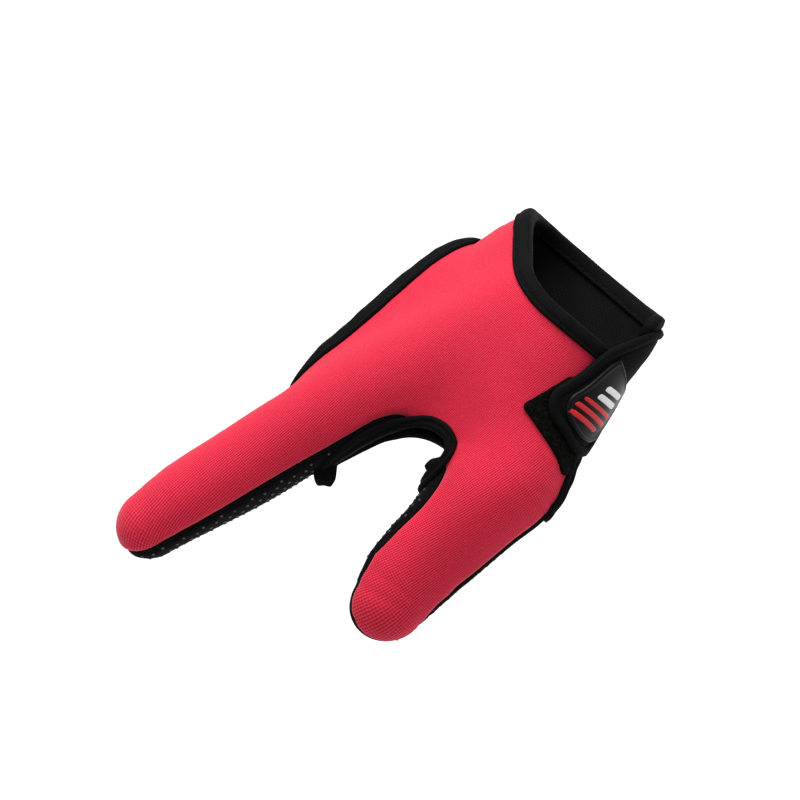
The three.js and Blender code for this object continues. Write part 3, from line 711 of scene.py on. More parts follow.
class Nodes:
    """A node material under construction."""

    def __init__(self, name):
        self.material = bpy.data.materials.new(name)
        self.material.use_nodes = True
        self.tree = self.material.node_tree
        self.shader = self.tree.nodes["Principled BSDF"]

    def add(self, kind, **settings):
        node = self.tree.nodes.new(kind)
        for key, value in settings.items():
            setattr(node, key, value)
        return node

    def link(self, a, b):
        self.tree.links.new(a, b)

    def value(self, socket, x):
        if hasattr(x, "node"):
            self.link(x, socket)
        else:
            socket.default_value = x

    def math(self, operation, a, b=0.0, clamp=False):
        node = self.add("ShaderNodeMath", operation=operation, use_clamp=clamp)
        self.value(node.inputs[0], a)
        self.value(node.inputs[1], b)
        return node.outputs[0]

    def total(self, *weighted):
        """The sum of sources times their weights."""
        out = None
        for source, weight in weighted:
            part = source if weight == 1 else self.math("MULTIPLY", source, weight)
            out = part if out is None else self.math("ADD", out, part)
        return out

    def coordinates(self, kind="Object"):
        return self.add("ShaderNodeTexCoord").outputs[kind]

    def turned(self, source, angle):
        node = self.add("ShaderNodeMapping")
        self.link(source, node.inputs["Vector"])
        node.inputs["Rotation"].default_value = (0, 0, angle)
        return node.outputs[0]

    def texture(self, kind, source, output, inputs, **settings):
        node = self.add("ShaderNodeTex" + kind, **settings)
        self.link(source, node.inputs["Vector"])
        for name, x in inputs.items():
            node.inputs[name].default_value = x
        return node.outputs[output]

    def noise(self, source, scale, detail=3, roughness=0.5):
        inputs = {"Scale": scale, "Detail": detail, "Roughness": roughness}
        return self.texture("Noise", source, "Fac", inputs)

    def wave(self, source, scale, direction, distortion, detail_scale):
        inputs = {"Scale": scale, "Distortion": distortion, "Detail Scale": detail_scale}
        return self.texture("Wave", source, "Fac", inputs, wave_type="BANDS", bands_direction=direction)

    def ramp(self, source, stops):
        node = self.add("ShaderNodeValToRGB")
        self.link(source, node.inputs[0])
        elements = node.color_ramp.elements
        while len(elements) < len(stops):
            elements.new(0.5)
        for element, (place, colour) in zip(elements, stops):
            element.position = place
            element.color = (*colour, 1)
        return node.outputs[0]

    def mixed(self, factor, a, b, blend="MIX"):
        node = self.add("ShaderNodeMix", data_type="RGBA", blend_type=blend)
        self.value(node.inputs[0], factor)
        for socket, x in ((node.inputs[6], a), (node.inputs[7], b)):
            self.value(socket, x if hasattr(x, "node") else (*x, 1))
        return node.outputs[2]

    def range(self, source, low, high):
        node = self.add("ShaderNodeMapRange")
        self.link(source, node.inputs[0])
        node.inputs[3].default_value = low
        node.inputs[4].default_value = high
        return node.outputs[0]

    def bump(self, height, distance, strength):
        node = self.add("ShaderNodeBump")
        self.link(height, node.inputs["Height"])
        node.inputs["Distance"].default_value = distance
        node.inputs["Strength"].default_value = strength
        return node.outputs[0]

    def finish(self, colour, rough, normal, **settings):
        self.value(self.shader.inputs["Base Color"], colour)
        self.value(self.shader.inputs["Roughness"], rough)
        self.link(normal, self.shader.inputs["Normal"])
        for name, x in settings.items():
            self.shader.inputs[name.replace("_", " ")].default_value = x
        return self.material


def red_knit():
    m = Nodes("red_knit")
    place = m.coordinates()
    cloth = m.turned(m.coordinates("UV"), KNIT_TURN)
    # Ribs of the knit and the loops that cross them
    ribs = m.wave(cloth, bands(UV_SPAN, RIB_PITCH), "Y", 1.6, 1.2)
    loops = m.wave(cloth, bands(UV_SPAN, LOOP_PITCH), "X", 1.6, 1.2)
    fuzz = m.noise(place, 2400, 2, 0.7)
    knit = m.total((ribs, 0.52), (loops, 0.24), (fuzz, 0.26))
    blotch = m.noise(place, 70, 3, 0.55)
    broad = m.noise(place, 16, 2, 0.5)
    # The colour follows the knit pattern that also makes the bump: darker in its grooves and lighter on its
    # ribs, painted shade and painted highlight on the knit's relief.
    deep, plain, lit = (0.33, 0.003, 0.014), (0.66, 0.011, 0.041), (0.87, 0.024, 0.076)
    colour = m.ramp(knit, [(0.22, deep), (0.5, plain), (0.78, lit)])
    tint = m.ramp(blotch, [(0.3, (0.90, 0.86, 0.88)), (0.7, (1.0, 1.0, 1.0))])
    colour = m.mixed(0.7, colour, tint, "MULTIPLY")
    light = m.ramp(broad, [(0.35, (0.94, 0.92, 0.92)), (0.65, (1.0, 1.0, 1.0))])
    colour = m.mixed(1.0, colour, light, "MULTIPLY")
    # Sparse pale pink specks where the fuzz stands highest: painted glints on the hairs.
    hair_glints = m.math("POWER", fuzz, 3.0)
    colour = m.mixed(m.math("MULTIPLY", hair_glints, 0.22, True), colour, (0.9, 0.20, 0.26))
    normal = m.bump(m.total((knit, 1), (fuzz, 0.5)), 0.00012, 0.8)
    return m.finish(
        colour, m.range(blotch, 0.8, 0.95), normal, Specular_IOR_Level=0.2,
        Sheen_Weight=0.28, Sheen_Roughness=0.42, Sheen_Tint=(1.0, 0.55, 0.66, 1),
    )


def black_cloth(name, thread, rough, relief, thread_highlight_grey, sheen, tint=(0.0025, 0.0025, 0.0027)):
    """Plain woven or knitted black cloth, with threads of the given width in millimetres."""
    m = Nodes(name)
    place = m.coordinates()
    cloth = m.coordinates("UV")
    scale = bands(UV_SPAN, 2 * thread)
    warp = m.wave(cloth, scale, "X", 0.5, 2.0)
    weft = m.wave(cloth, scale, "Y", 0.5, 2.0)
    weave = m.math("MAXIMUM", warp, weft)
    fuzz = m.noise(place, 3000, 2, 0.65)
    blotch = m.noise(place, 120, 3, 0.55)
    worn = m.noise(place, 35, 2, 0.5)
    # The raised threads and the fuzz, which also make the bump, are painted grey over the black: painted
    # highlight on the weave's relief.
    mix = m.math("MULTIPLY", m.total((weave, 0.6), (fuzz, 0.4)), blotch)
    colour = m.ramp(mix, [(0.05, tint), (0.75, (thread_highlight_grey, thread_highlight_grey, thread_highlight_grey * 1.08))])
    colour = m.mixed(m.range(worn, 0.0, 0.5), colour, tint)
    normal = m.bump(m.total((weave, 1), (fuzz, 0.6)), relief, 0.8)
    return m.finish(
        colour, m.range(blotch, rough - 0.08, rough + 0.08), normal, Specular_IOR_Level=0.04,
        Sheen_Weight=sheen, Sheen_Roughness=0.4, Sheen_Tint=(0.75, 0.76, 0.8, 1),
    )


def hook_fabric():
    m = Nodes("hook_fabric")
    place = m.coordinates()
    loops = m.texture("Voronoi", place, "Distance", {"Scale": 1500})
    tufts = m.noise(place, 900, 4, 0.7)
    broad = m.noise(place, 150, 3, 0.5)
    # The colour follows the tufts that also make the bump: near black in their hollows and lighter at their
    # tips, painted shade and painted highlight on the pile.
    dark, fibre, tip = (0.001, 0.001, 0.001), (0.007, 0.0065, 0.005), (0.03, 0.028, 0.02)
    colour = m.ramp(tufts, [(0.4, dark), (0.66, fibre), (0.85, tip)])
    normal = m.bump(m.total((loops, 0.8), (tufts, 1)), 0.0005, 0.9)
    return m.finish(colour, m.range(broad, 0.75, 0.95), normal, Specular_IOR_Level=0.04)


def rubber(name, colour, dark, rough, relief=0.00004, shine=0.3):
    m = Nodes(name)
    place = m.coordinates()
    grain = m.noise(place, 1800, 3, 0.55)
    smear = m.noise(place, 90, 3, 0.5)
    shade = m.ramp(smear, [(0.3, dark), (0.7, colour)])
    normal = m.bump(grain, relief, 0.6)
    return m.finish(shade, m.range(smear, rough - 0.07, rough + 0.09), normal, Specular_IOR_Level=shine)


RED = red_knit()
PALM_CLOTH = black_cloth("palm_knit", 0.6, 0.82, 0.00008, 0.010, 0.01)
LINING = black_cloth("lining_jersey", 0.5, 0.88, 0.00005, 0.008, 0.004, tint=(0.003, 0.003, 0.0032))
TAPE_CLOTH = black_cloth("binding_tape", 0.42, 0.74, 0.00007, 0.010, 0.005)
STRAP_CLOTH = black_cloth("strap_cloth", 0.55, 0.78, 0.00009, 0.010, 0.004)
THREAD = rubber("sewing_thread", (0.005, 0.005, 0.0055), (0.0025, 0.0025, 0.003), 0.6, 0.00003, 0.06)
HOOK = hook_fabric()
DOTS = rubber("grip_dots", (0.07, 0.07, 0.073), (0.035, 0.035, 0.037), 0.42)
BADGE = rubber("badge_rubber", (0.003, 0.003, 0.0033), (0.0015, 0.0015, 0.0018), 0.33, shine=0.12)
MARK_RED = rubber("mark_red", (0.62, 0.012, 0.02), (0.5, 0.01, 0.016), 0.42)
MARK_WHITE = rubber("mark_white", (0.86, 0.86, 0.86), (0.74, 0.74, 0.75), 0.42)


# Solids of sheets and of rings
def shell(name, sheet, top, bottom, uv, material, nodes=()):
    """A closed piece between two depths, which are numbers or given at each corner."""
    n = len(sheet.p)
    vertices = np.concatenate([lay(sheet.p, sheet.normal, top), lay(sheet.p, sheet.normal, bottom)])
    rim = outline(sheet.triangles)
    walls = np.stack([rim[:, 1], rim[:, 0], rim[:, 0] + n, rim[:, 1] + n], 1)
    faces = [*sheet.triangles, *(sheet.triangles[:, ::-1] + n), *walls]
    piece(name, vertices, faces, material, nodes, np.tile(uv, (2, 1)))


def circle(ahead, beside, sides):
    """Points round each place, from two vectors across its axis."""
    angles = np.arange(sides)[:, None] * 2 * math.pi / sides
    return ahead[:, None] * np.cos(angles) + beside[:, None] * np.sin(angles)


def tube_faces(rings, sides, closed=True, cap=False):
    faces = []
    last = rings if closed else rings - 1
    for i in range(last):
        j = (i + 1) % rings
        for k in range(sides):
            m = (k + 1) % sides
            faces.append((i * sides + k, i * sides + m, j * sides + m, j * sides + k))
    if cap:
        faces.append(tuple(range(sides))[::-1])
        faces.append(tuple((rings - 1) * sides + k for k in range(sides)))
    return faces


def copies(faces, times, count):
    """The faces of a part with count vertices, repeated."""
    return [tuple(v + n * count for v in face) for n in range(times) for face in faces]


def joined(parts):
    vertices, faces, base = [], [], 0
    for v, f in parts:
        vertices.append(v)
        faces += [tuple(int(x) + base for x in face) for face in f]
        base += len(v)
    return np.concatenate(vertices), faces


# Panels
SEAM_LEVELS = (0.2, 0.5, 0.9, 1.4, 2.2)
SEAM_DROP = 0.95
SEAM_PUFF = 0.18
PALM_SEAM = 0.8
LINING_WALL = 0.35
LINING_GAP = 0.03
EDGES = ("bare", "web")


def trimmed(sheet, edges):
    for edge in edges:
        sheet = sheet.below(edge)
    return sheet


def panel_sheet(sign, wrist):
    sheet = SHEET.above("height", GAP / 2) if sign > 0 else SHEET.below("height", -GAP / 2)
    sheet = trimmed(sheet, (wrist, *EDGES))
    return sheet.scored("height", [sign * (GAP / 2 + level) for level in SEAM_LEVELS]).compact()


def seam_roll(sheet):
    """How far the outer face drops towards the sewn seam."""
    beyond = np.maximum(np.abs(sheet["height"]) - GAP / 2, 0)
    return SEAM_DROP * np.exp(-(beyond / 0.75) ** 1.3) - SEAM_PUFF * bump_at(beyond, 2.0, 1.1)


back_sheet = panel_sheet(1, "back_wrist")
back_uv = back_sheet["back_uv"] / UV_SPAN + 0.5
back_top = OUTSIDE - seam_roll(back_sheet)
back_low = -OUTSIDE + LINING_WALL
shell("back_shell", back_sheet, back_top, back_low, back_uv, RED, ["back_panel"])
lining_top = back_low - LINING_GAP
lining_low = lining_top - LINING_WALL + LINING_GAP
shell("back_lining", back_sheet, lining_top, lining_low, back_uv, LINING, ["back_panel"])

palm_sheet = panel_sheet(-1, "palm_wrist")
palm_uv = palm_sheet["palm_uv"] / UV_SPAN + 0.5
palm_top = OUTSIDE - PALM_SEAM * seam_roll(palm_sheet)
palm_low = OUTSIDE - PALM_WALL
shell("palm_shell", palm_sheet, palm_top, palm_low, palm_uv, PALM_CLOTH, ["palm_panel"])

# The sewn edge that closes the seam between the panels
CORE_HALF = 0.6 * GAP
CORE_TOP = OUTSIDE - SEAM_DROP - 0.15
CORE_LOW = -OUTSIDE + 0.1
core = SHEET.above("height", -CORE_HALF).below("height", CORE_HALF)
core = trimmed(core, ("wrist", *EDGES)).compact()
shell("seam_core", core, CORE_TOP, CORE_LOW, np.zeros((len(core.p), 2)), LINING)

# Grip dots in staggered rows on the unrolled palm
DOT_PITCH = 4.2
DOT_RADIUS = 0.52
DOT_HEIGHT = 0.26
DOT_SIDES = 10
DOT_MARGIN = 0.4
SEAM_MARGIN = 0.9
# Share of the radius and of the height at each ring of a dot
DOME = [(1.0, -0.25), (0.92, 0.35), (0.62, 0.8)]


def cross_2d(a, b):
    return a[0] * b[1] - a[1] * b[0]


def dots(sheet):
    """Places and normals of the dots, which keep clear of the tape and of the seam."""
    grid = sheet["palm_uv"] / [DOT_PITCH, DOT_PITCH / 2]
    seam = -sheet["height"] - GAP / 2 + BINDING_WIDTH - SEAM_MARGIN
    edge = np.min([-sheet["bare"], -sheet["web"], -sheet["palm_wrist"], seam], axis=0)
    places, normals, seen = [], [], set()
    # Odd rows are shifted by half a pitch
    for odd in (0, 1):
        corners = (grid - [0.5 * odd, 0])[sheet.triangles]
        low = np.ceil(corners.min(1)).astype(int)
        high = np.floor(corners.max(1)).astype(int)
        for n in np.flatnonzero((low <= high).all(1)):
            a, b, c = corners[n]
            t = sheet.triangles[n]
            area = cross_2d(b - a, c - a)
            if abs(area) < 1e-12:
                continue
            for i, j in itertools.product(*(range(low[n, k], high[n, k] + 1) for k in (0, 1))):
                q = np.array([i, j]) - a
                w1, w2 = cross_2d(q, c - a) / area, cross_2d(b - a, q) / area
                w = np.array([1 - w1 - w2, w1, w2])
                outside = w.min() < -1e-9 or w @ edge[t] < BINDING_WIDTH + DOT_MARGIN
                if j % 2 != odd or outside or (i, j) in seen:
                    continue
                seen.add((i, j))
                places.append(w @ sheet.p[t])
                normals.append(w @ sheet.normal[t])
    return np.array(places), unit(np.array(normals))


def domes(p, normal):
    ahead = unit(np.cross(normal, [0.3, 0.9, 0.3]))
    ring = circle(ahead, np.cross(normal, ahead), DOT_SIDES)
    rings = [
        p[:, None] + DOT_RADIUS * share * ring + normal[:, None] * DOT_HEIGHT * rise
        for share, rise in DOME
    ]
    top = p + normal * DOT_HEIGHT
    vertices = np.concatenate([*rings, top[:, None]], 1).reshape(-1, 3)
    last, count = (len(DOME) - 1) * DOT_SIDES, len(DOME) * DOT_SIDES + 1
    one = tube_faces(len(DOME), DOT_SIDES, closed=False)
    one += [(last + k, last + (k + 1) % DOT_SIDES, count - 1) for k in range(DOT_SIDES)]
    one.append(tuple(reversed(range(DOT_SIDES))))
    return vertices, copies(one, len(p), count)
    return vertices, faces


dot_p, dot_n = dots(palm_sheet)
vertices, faces = domes(lay(dot_p, dot_n, OUTSIDE), dot_n)
piece("palm_grip_dots", vertices, faces, DOTS, ["palm_panel"])


# Binding tape folded round the edges
STRIDE = 0.6
SPACING = 1.15
TAPE_TOP = OUTSIDE + GAP + TAPE
FOLD_REACH = 1.25
END_WIDTH = 1.4
# Distances of the tape's points from its fold
LEG = np.array([0.0, 0.5, 1.0, 1.6, 2.2, 2.7, 3.1, 3.4, 3.7, 4.05, 4.3, 4.5])
FOLD_ANGLES = np.linspace(0, math.pi, 9)[1:-1]
SHARE_ROUNDS = 14
# Size and period of the uneven pull of the sewing, and of the changes of the fold's reach
PULL = (0.09, 9)
FOLD_CHANGE = (0.02, 14)
PUCKER = 0.05
INNER_RELIEF = 0.5
OFF_INNER = 0.06
OFF_OUTER = 0.05
EDGE_STITCH = 3.15
WEB_STITCH = 2.1
STITCH_PITCH = 2.9
STITCH_LENGTH = 2.1
THREAD_RADIUS = 0.2
THREAD_RISE = 0.06
THREAD_SIDES = 7
# Place along a stitch, share of its thickness, and height over the line through its ends
STITCH_PROFILE = [
    (-0.04, 0.25, -0.25),
    (0.06, 0.8, -0.02),
    (0.3, 1.0, 0.08),
    (0.7, 1.0, 0.08),
    (0.94, 0.8, -0.02),
    (1.04, 0.25, -0.25),
]


def rim_loops(name):
    """Closed lines of points where the named distance is zero."""
    low, _ = SHEET.split(SHEET[name], 0.0, 0.0)
    pairs = outline(low.triangles)
    pairs = pairs[(pairs >= len(SHEET.p)).all(1)]
    follow = dict(pairs.tolist())
    loops = []
    while follow:
        start, at = follow.popitem()
        chain = [start]
        while at != start and at in follow:
            chain.append(at)
            at = follow.pop(at)
        if at == start and len(chain) > 20:
            loops.append(low.p[chain])
    return loops


def lengths(path):
    """Length along the path at each of its points."""
    return np.concatenate([[0], np.cumsum(np.linalg.norm(np.diff(path, axis=0), axis=1))])


def on_path(at, length, path):
    return np.stack([np.interp(at, length, path[:, n]) for n in range(3)], 1)


def closed_up(loop):
    return np.concatenate([loop, loop[:1]])


def soften(x, rounds):
    """Values along a closed loop, evened out."""
    for _ in range(rounds):
        x = (np.roll(x, 1, 0) + 2 * x + np.roll(x, -1, 0)) / 4
    return x


def resample(loop):
    closed = closed_up(loop)
    length = lengths(closed)
    count = max(int(round(length[-1] / SPACING)), 8)
    return on_path(np.arange(count) * length[-1] / count, length, closed)


def march(p, normal, direction, distances, share=1.0):
    """Points at these distances from p along the surface, and the normals there. share shortens each row."""
    share = np.broadcast_to(share, len(p))[:, None]
    found = []
    travelled = 0.0
    direction = unit(tangential(direction, normal))
    for target in distances:
        while travelled < target - 1e-9:
            step = min(STRIDE, target - travelled)
            p, normal = onto_hand(p + direction * step * share, 1)
            direction = unit(tangential(direction, normal))
            travelled += step
        found.append((p, normal))
    return np.stack([f[0] for f in found], 1), np.stack([f[1] for f in found], 1)


def tape_leg(s, stitch):
    """Height of the tape's outer face over the plain level, from the fold to the raw edge."""
    sewn = -0.34 * bump_at(s, stitch, 0.32)
    puffed = 0.32 * bump_at(s, stitch * 0.42, stitch * 0.42)
    band = 0.14 * bump_at(s, (stitch + BINDING_WIDTH) / 2, (BINDING_WIDTH - stitch) * 0.4)
    end = -0.55 * smoothstep(s, BINDING_WIDTH - 0.5, BINDING_WIDTH)
    return sewn + puffed + band + end


def even_share(p):
    return np.ones(len(p))


def web_share(p):
    """The tape of the web narrows on the back, and more where it turns from there to the palm."""
    height = hand(p)[1]
    turn = np.minimum(1, (END_WIDTH + 1.2 * np.abs(height)) / BINDING_WIDTH)
    return turn * (1 - 0.26 * smoothstep(height, 0, 2))


def wrist_share(p):
    """The tape of the wrist narrows along the slit towards its end."""
    return 1 - 0.42 * smoothstep(-p[:, 1], 33, 42) - 0.22 * smoothstep(-p[:, 1], 46, 66)


def ripple(count, rng, size, period):
    """Uneven pulls of the sewing along a closed loop."""
    at = np.arange(count) * SPACING
    total = count * SPACING
    out = np.zeros(count)
    for turns in rng.integers(int(total / period / 2), int(total / period * 1.5) + 2, 6):
        out += np.sin(2 * math.pi * turns * at / total + rng.uniform(0, 7))
    return size * out / 2.5


def threads(starts, ends, normals):
    """Short sewn stitches, thick in the middle and sunk at both ends."""
    along = unit(ends - starts)
    beside = unit(np.cross(normals, along))
    lift = np.cross(along, beside)
    ring = circle(beside, 0.8 * lift, THREAD_SIDES)
    rings = []
    for at, size, rise in STITCH_PROFILE:
        centre = starts + (ends - starts) * at + lift * rise
        rings.append(centre[:, None] + THREAD_RADIUS * size * ring)
    vertices = np.concatenate(rings, 1).reshape(-1, 3)
    one = tube_faces(len(STITCH_PROFILE), THREAD_SIDES, closed=False, cap=True)
    return vertices, copies(one, len(starts), len(STITCH_PROFILE) * THREAD_SIDES)


def stitches(line_p, line_n, depth, side):
    """Stitches along a closed line at this depth. side is 1 on the outer face and -1 on the inner one."""
    path = closed_up(line_p + line_n * (depth + waves(line_p))[:, None])
    length = lengths(path)
    total = length[-1]
    count = int(total / STITCH_PITCH)
    begin = np.arange(count) * total / count
    starts, ends = (on_path(x % total, length, path) for x in (begin, begin + STITCH_LENGTH))
    middle = on_path((begin + STITCH_LENGTH / 2) % total, length, closed_up(line_n))
    return threads(starts, ends, unit(middle) * side)


stitch_parts = []


def folded_tape(name, field, node_names, seed, smooth_rounds=10, share=even_share, stitch=EDGE_STITCH):
    """Tape folded round every rim where the field is zero. The fabric lies where it is negative."""
    rng = np.random.default_rng(seed)
    parts, uvs = [], []
    for loop in rim_loops(field):
        p, normal = onto_hand(resample(soften(resample(loop), smooth_rounds)))
        narrow = soften(share(p), SHARE_ROUNDS)
        ahead = unit(np.roll(p, -1, 0) - np.roll(p, 1, 0))
        inward = np.cross(normal, ahead)
        legs_p, legs_n = march(p, normal, inward, LEG, narrow)
        on_back = smoothstep(hand(p)[1], -1.5, 1.5)
        inner = OUTSIDE - PALM_WALL - on_back * (BACK_WALL - PALM_WALL)
        under = inner - GAP - TAPE
        pull = ripple(len(p), rng, *PULL)
        wide = 1 + ripple(len(p), rng, *FOLD_CHANGE)
        pucker = PUCKER * np.cos(2 * math.pi * (np.arange(len(p)) * SPACING / STITCH_PITCH))
        base = waves(legs_p)
        # Lines of points round the section of the tape, and their places across it
        ring, across = [], []

        def place(k, depth):
            return legs_p[:, k] + legs_n[:, k] * (depth + base[:, k])[:, None]

        def at_fold(out, depth):
            return p - inward * out + normal * (depth + base[:, 0])[:, None]

        for k in reversed(range(len(LEG))):
            near_stitch = pull + pucker * bump_at(LEG[k], stitch, 1.0)
            extra = tape_leg(LEG[k], stitch) + near_stitch * smoothstep(BINDING_WIDTH - LEG[k], 0, 1)
            ring.append(place(k, TAPE_TOP + extra))
            across.append(LEG[k])
        over = TAPE_TOP + tape_leg(LEG[0], stitch) + pull
        middle, half = (over + under) / 2, (over - under) / 2
        for angle in FOLD_ANGLES:
            out = FOLD_REACH * (0.4 + 0.6 * narrow) * wide * math.sin(angle) ** 0.8
            ring.append(at_fold(out[:, None], middle + half * math.cos(angle)))
            across.append(-FOLD_REACH * angle)
        for k in range(len(LEG)):
            ring.append(place(k, under - INNER_RELIEF * tape_leg(LEG[k], stitch)))
            across.append(-BINDING_WIDTH - LEG[k])
        # The faces of the tape that lie on the fabric
        for k in range(len(LEG) - 1, -1, -2):
            ring.append(place(k, inner - OFF_INNER))
            across.append(-2 * BINDING_WIDTH + LEG[k])
        ring.append(at_fold(0.25, (inner + OUTSIDE) / 2))
        across.append(-4)
        for k in range(1, len(LEG), 2):
            ring.append(place(k, OUTSIDE + OFF_OUTER))
            across.append(LEG[k])
        vertices = np.stack(ring, 1).reshape(-1, 3)
        parts.append((vertices, [f[::-1] for f in tube_faces(len(p), len(ring))]))
        u = np.repeat(np.arange(len(p)) * SPACING, len(ring))
        uvs.append(np.stack([u, np.tile(across, len(p))], 1) / UV_SPAN)
        line_p, line_n = (x[:, 0] for x in march(p, normal, inward, [stitch], narrow))
        sunk = tape_leg(stitch, stitch)
        stitch_parts.append(stitches(line_p, line_n, TAPE_TOP + sunk + pull + THREAD_RISE, 1))
        stitch_parts.append(stitches(line_p, line_n, under - INNER_RELIEF * sunk - THREAD_RISE, -1))
    vertices, faces = joined(parts)
    piece(name, vertices, faces, TAPE_CLOTH, node_names, np.concatenate(uvs))


folded_tape("finger_tape", "bare", ["finger_binding_back", "finger_binding_palm"], 11)
folded_tape("web_tape", "web", ["web_binding_back", "web_binding_palm"], 12, 6, web_share, WEB_STITCH)
folded_tape("wrist_tape", "wrist", ["wrist_binding_back", "wrist_binding_palm"], 13, 6, wrist_share)

# Strap: flat coordinates are the distance along its line and the distance across it
STRAP_ROWS = np.array([
    (0.025, -0.125, -0.29),
    (0.062, -0.26, -0.27),
    (0.074, -0.385, -0.23),
    (0.012, -0.48, -0.193),
    (-0.115, -0.578, -0.175),
    (-0.24, -0.648, -0.148),
    (-0.36, -0.71, -0.125),
])
STRAP_END = 5
HALF = STRAP_WIDTH / 2
GRID = 0.8
ACROSS = np.arange(-18, 19) * GRID
STRAP_BASE = OUTSIDE + 2 * GAP + TAPE
STRAP_TOP = STRAP_BASE + STRAP_WALL
BADGE_BASE = STRAP_TOP + GAP
BADGE_TOP = BADGE_BASE + BADGE_WALL
EDGE_WIDTH = 3.0


def strap_grid():
    """A grid of triangles on the hand along the strap's line, and the length of that line."""
    curve = Curve(STRAP_ROWS * HAND_WIDTH)
    dense, _ = onto_hand(np.array([curve.point(t) for t in np.linspace(0, 1, 400)]))
    length = lengths(dense)
    at = np.linspace(0, length[-1], int(length[-1] / GRID) + 1)
    line = on_path(at, length, dense)
    for _ in range(6):
        line[1:-1] = (line[:-2] + 2 * line[1:-1] + line[2:]) / 4
    line, normal = onto_hand(line)
    ahead = unit(np.gradient(line, axis=0))
    side = np.cross(ahead, normal)
    distances = ACROSS[len(ACROSS) // 2 + 1:]
    left_p, left_n = march(line, normal, side, distances)
    right_p, right_n = march(line, normal, -side, distances)
    p = np.concatenate([right_p[:, ::-1], line[:, None], left_p], 1)
    n = np.concatenate([right_n[:, ::-1], normal[:, None], left_n], 1)
    rows, columns = p.shape[:2]
    index = np.arange(rows * columns).reshape(rows, columns)
    a, b, c, d = index[:-1, :-1], index[1:, :-1], index[1:, 1:], index[:-1, 1:]
    t = np.concatenate([np.stack(corners, -1).reshape(-1, 3) for corners in ((a, b, c), (a, c, d))])
    p, n = p.reshape(-1, 3), n.reshape(-1, 3)
    # Outward faces turn counterclockwise seen from outside
    face = np.cross(p[t[:, 1]] - p[t[:, 0]], p[t[:, 2]] - p[t[:, 0]])
    if dot(face, n[t[:, 0]]).mean() < 0:
        t = t[:, ::-1].copy()
    along = np.repeat(at, columns)
    values = {"along": along, "across": np.tile(ACROSS, rows), "left": at[-1] - along}
    return Sheet(p, n, values, t)


STRAP = strap_grid()


def rounded(a, b, corner):
    """The larger of two distances, with a round corner where both meet."""
    outer = np.hypot(np.maximum(a + corner, 0), np.maximum(b + corner, 0)) - corner
    return np.where((a + corner > 0) & (b + corner > 0), outer, np.maximum(a, b))


def patch(half_width, root, end_margin, corner):
    """Distance to the outline of a patch of the strap, negative inside."""
    side = np.abs(STRAP["across"]) - half_width
    return np.maximum(rounded(side, end_margin - STRAP["left"], corner), root - STRAP["along"])


def level(height):
    """A face at the same height everywhere."""
    return lambda sheet, inside: height


def strap_piece(name, node, slot, material, shape, levels, top, bottom):
    """A closed solid on the strap's grid. top and bottom depend on the sheet and the distance inside."""
    STRAP.values["shape"] = shape
    sheet = STRAP.below("shape").scored("shape", [-x for x in levels]).compact()
    inside = -sheet["shape"]
    uv = np.stack([sheet["along"], sheet["across"]], 1) / UV_SPAN
    shell(name, sheet, top(sheet, inside), bottom(sheet, inside), uv, material, [node])


def strap_top(sheet, inside):
    lift = 0.25 * np.sin(sheet["along"] * 0.13 + 1.0) * np.sin(sheet["across"] * 0.2)
    side = -0.35 * np.exp(-inside / 0.35)
    ditch = -0.32 * bump_at(inside, EDGE_WIDTH + 0.15, 0.4)
    crown = 0.35 * smoothstep(inside, 2, 9)
    return STRAP_TOP + side + ditch + crown + 0.3 * lift


def strap_bottom(sheet, inside):
    return STRAP_BASE + 0.2 * np.exp(-inside / 0.3)


def edge_top(sheet, inside):
    share = np.clip(inside / EDGE_WIDTH, 0, 1)
    arch = np.sqrt(np.maximum(1 - (2 * share - 1) ** 2, 0))
    return STRAP_TOP - 0.25 + 0.8 * arch ** 0.8


def hook_top(sheet, inside):
    along, across = sheet["along"], sheet["across"]
    rough = 0.09 * np.sin(along * 5.1 + 3 * np.sin(across * 2.3)) * np.sin(across * 4.7)
    return OUTSIDE + GAP + TAPE - 0.3 * np.exp(-inside / 0.3) + rough


def badge_top(sheet, inside):
    lip = 0.28 * bump_at(inside, 0.75, 0.45)
    edge = -0.5 * np.exp(-inside / 0.22)
    return BADGE_TOP + lip + edge


def mark_top(sheet, inside):
    return BADGE_TOP + MARK_WALL - 0.2 * np.exp(-inside / 0.15)


strap_shape = patch(HALF, 0.0, STRAP_END, 0.35 * STRAP_WIDTH)
strap_edge = np.maximum(strap_shape, -(strap_shape + EDGE_WIDTH))
hook_shape = patch(HALF + 0.5, 1.9 * STRAP_WIDTH, 0.0, 1.5)
badge_shape = patch(0.34 * STRAP_WIDTH, 1.2 * STRAP_WIDTH, STRAP_END + 3.6, 0.3 * STRAP_WIDTH)
# Lines of points inside the outlines, where the faces bend
STRAP_LEVELS = (0.15, 0.4, 0.8, 1.4, 2.2, 2.8, 3.2, 3.6, 4.4)
HOOK_LEVELS = (0.2, 0.5, 1.0)
BADGE_LEVELS = (0.1, 0.25, 0.45, 0.75, 1.1, 1.5)
MARK_LEVELS = (0.12, 0.3, 0.5)

# Name, node, slot, material, distance to the outline, lines inside it, and the functions of both faces
STRAP_PIECES = [
    ("strap_pad", "wrist_strap", "strap", STRAP_CLOTH, strap_shape, STRAP_LEVELS, strap_top, strap_bottom),
    ("strap_edge", "strap_binding", "tape", TAPE_CLOTH, strap_edge, (), edge_top, level(STRAP_TOP - 0.3)),
    ("hook_patch", "hook_tab", "hook", HOOK, hook_shape, HOOK_LEVELS, hook_top, level(OUTSIDE + 0.12)),
    ("badge_plate", "badge", "badge", BADGE, badge_shape, BADGE_LEVELS, badge_top, level(BADGE_BASE - 0.2)),
]

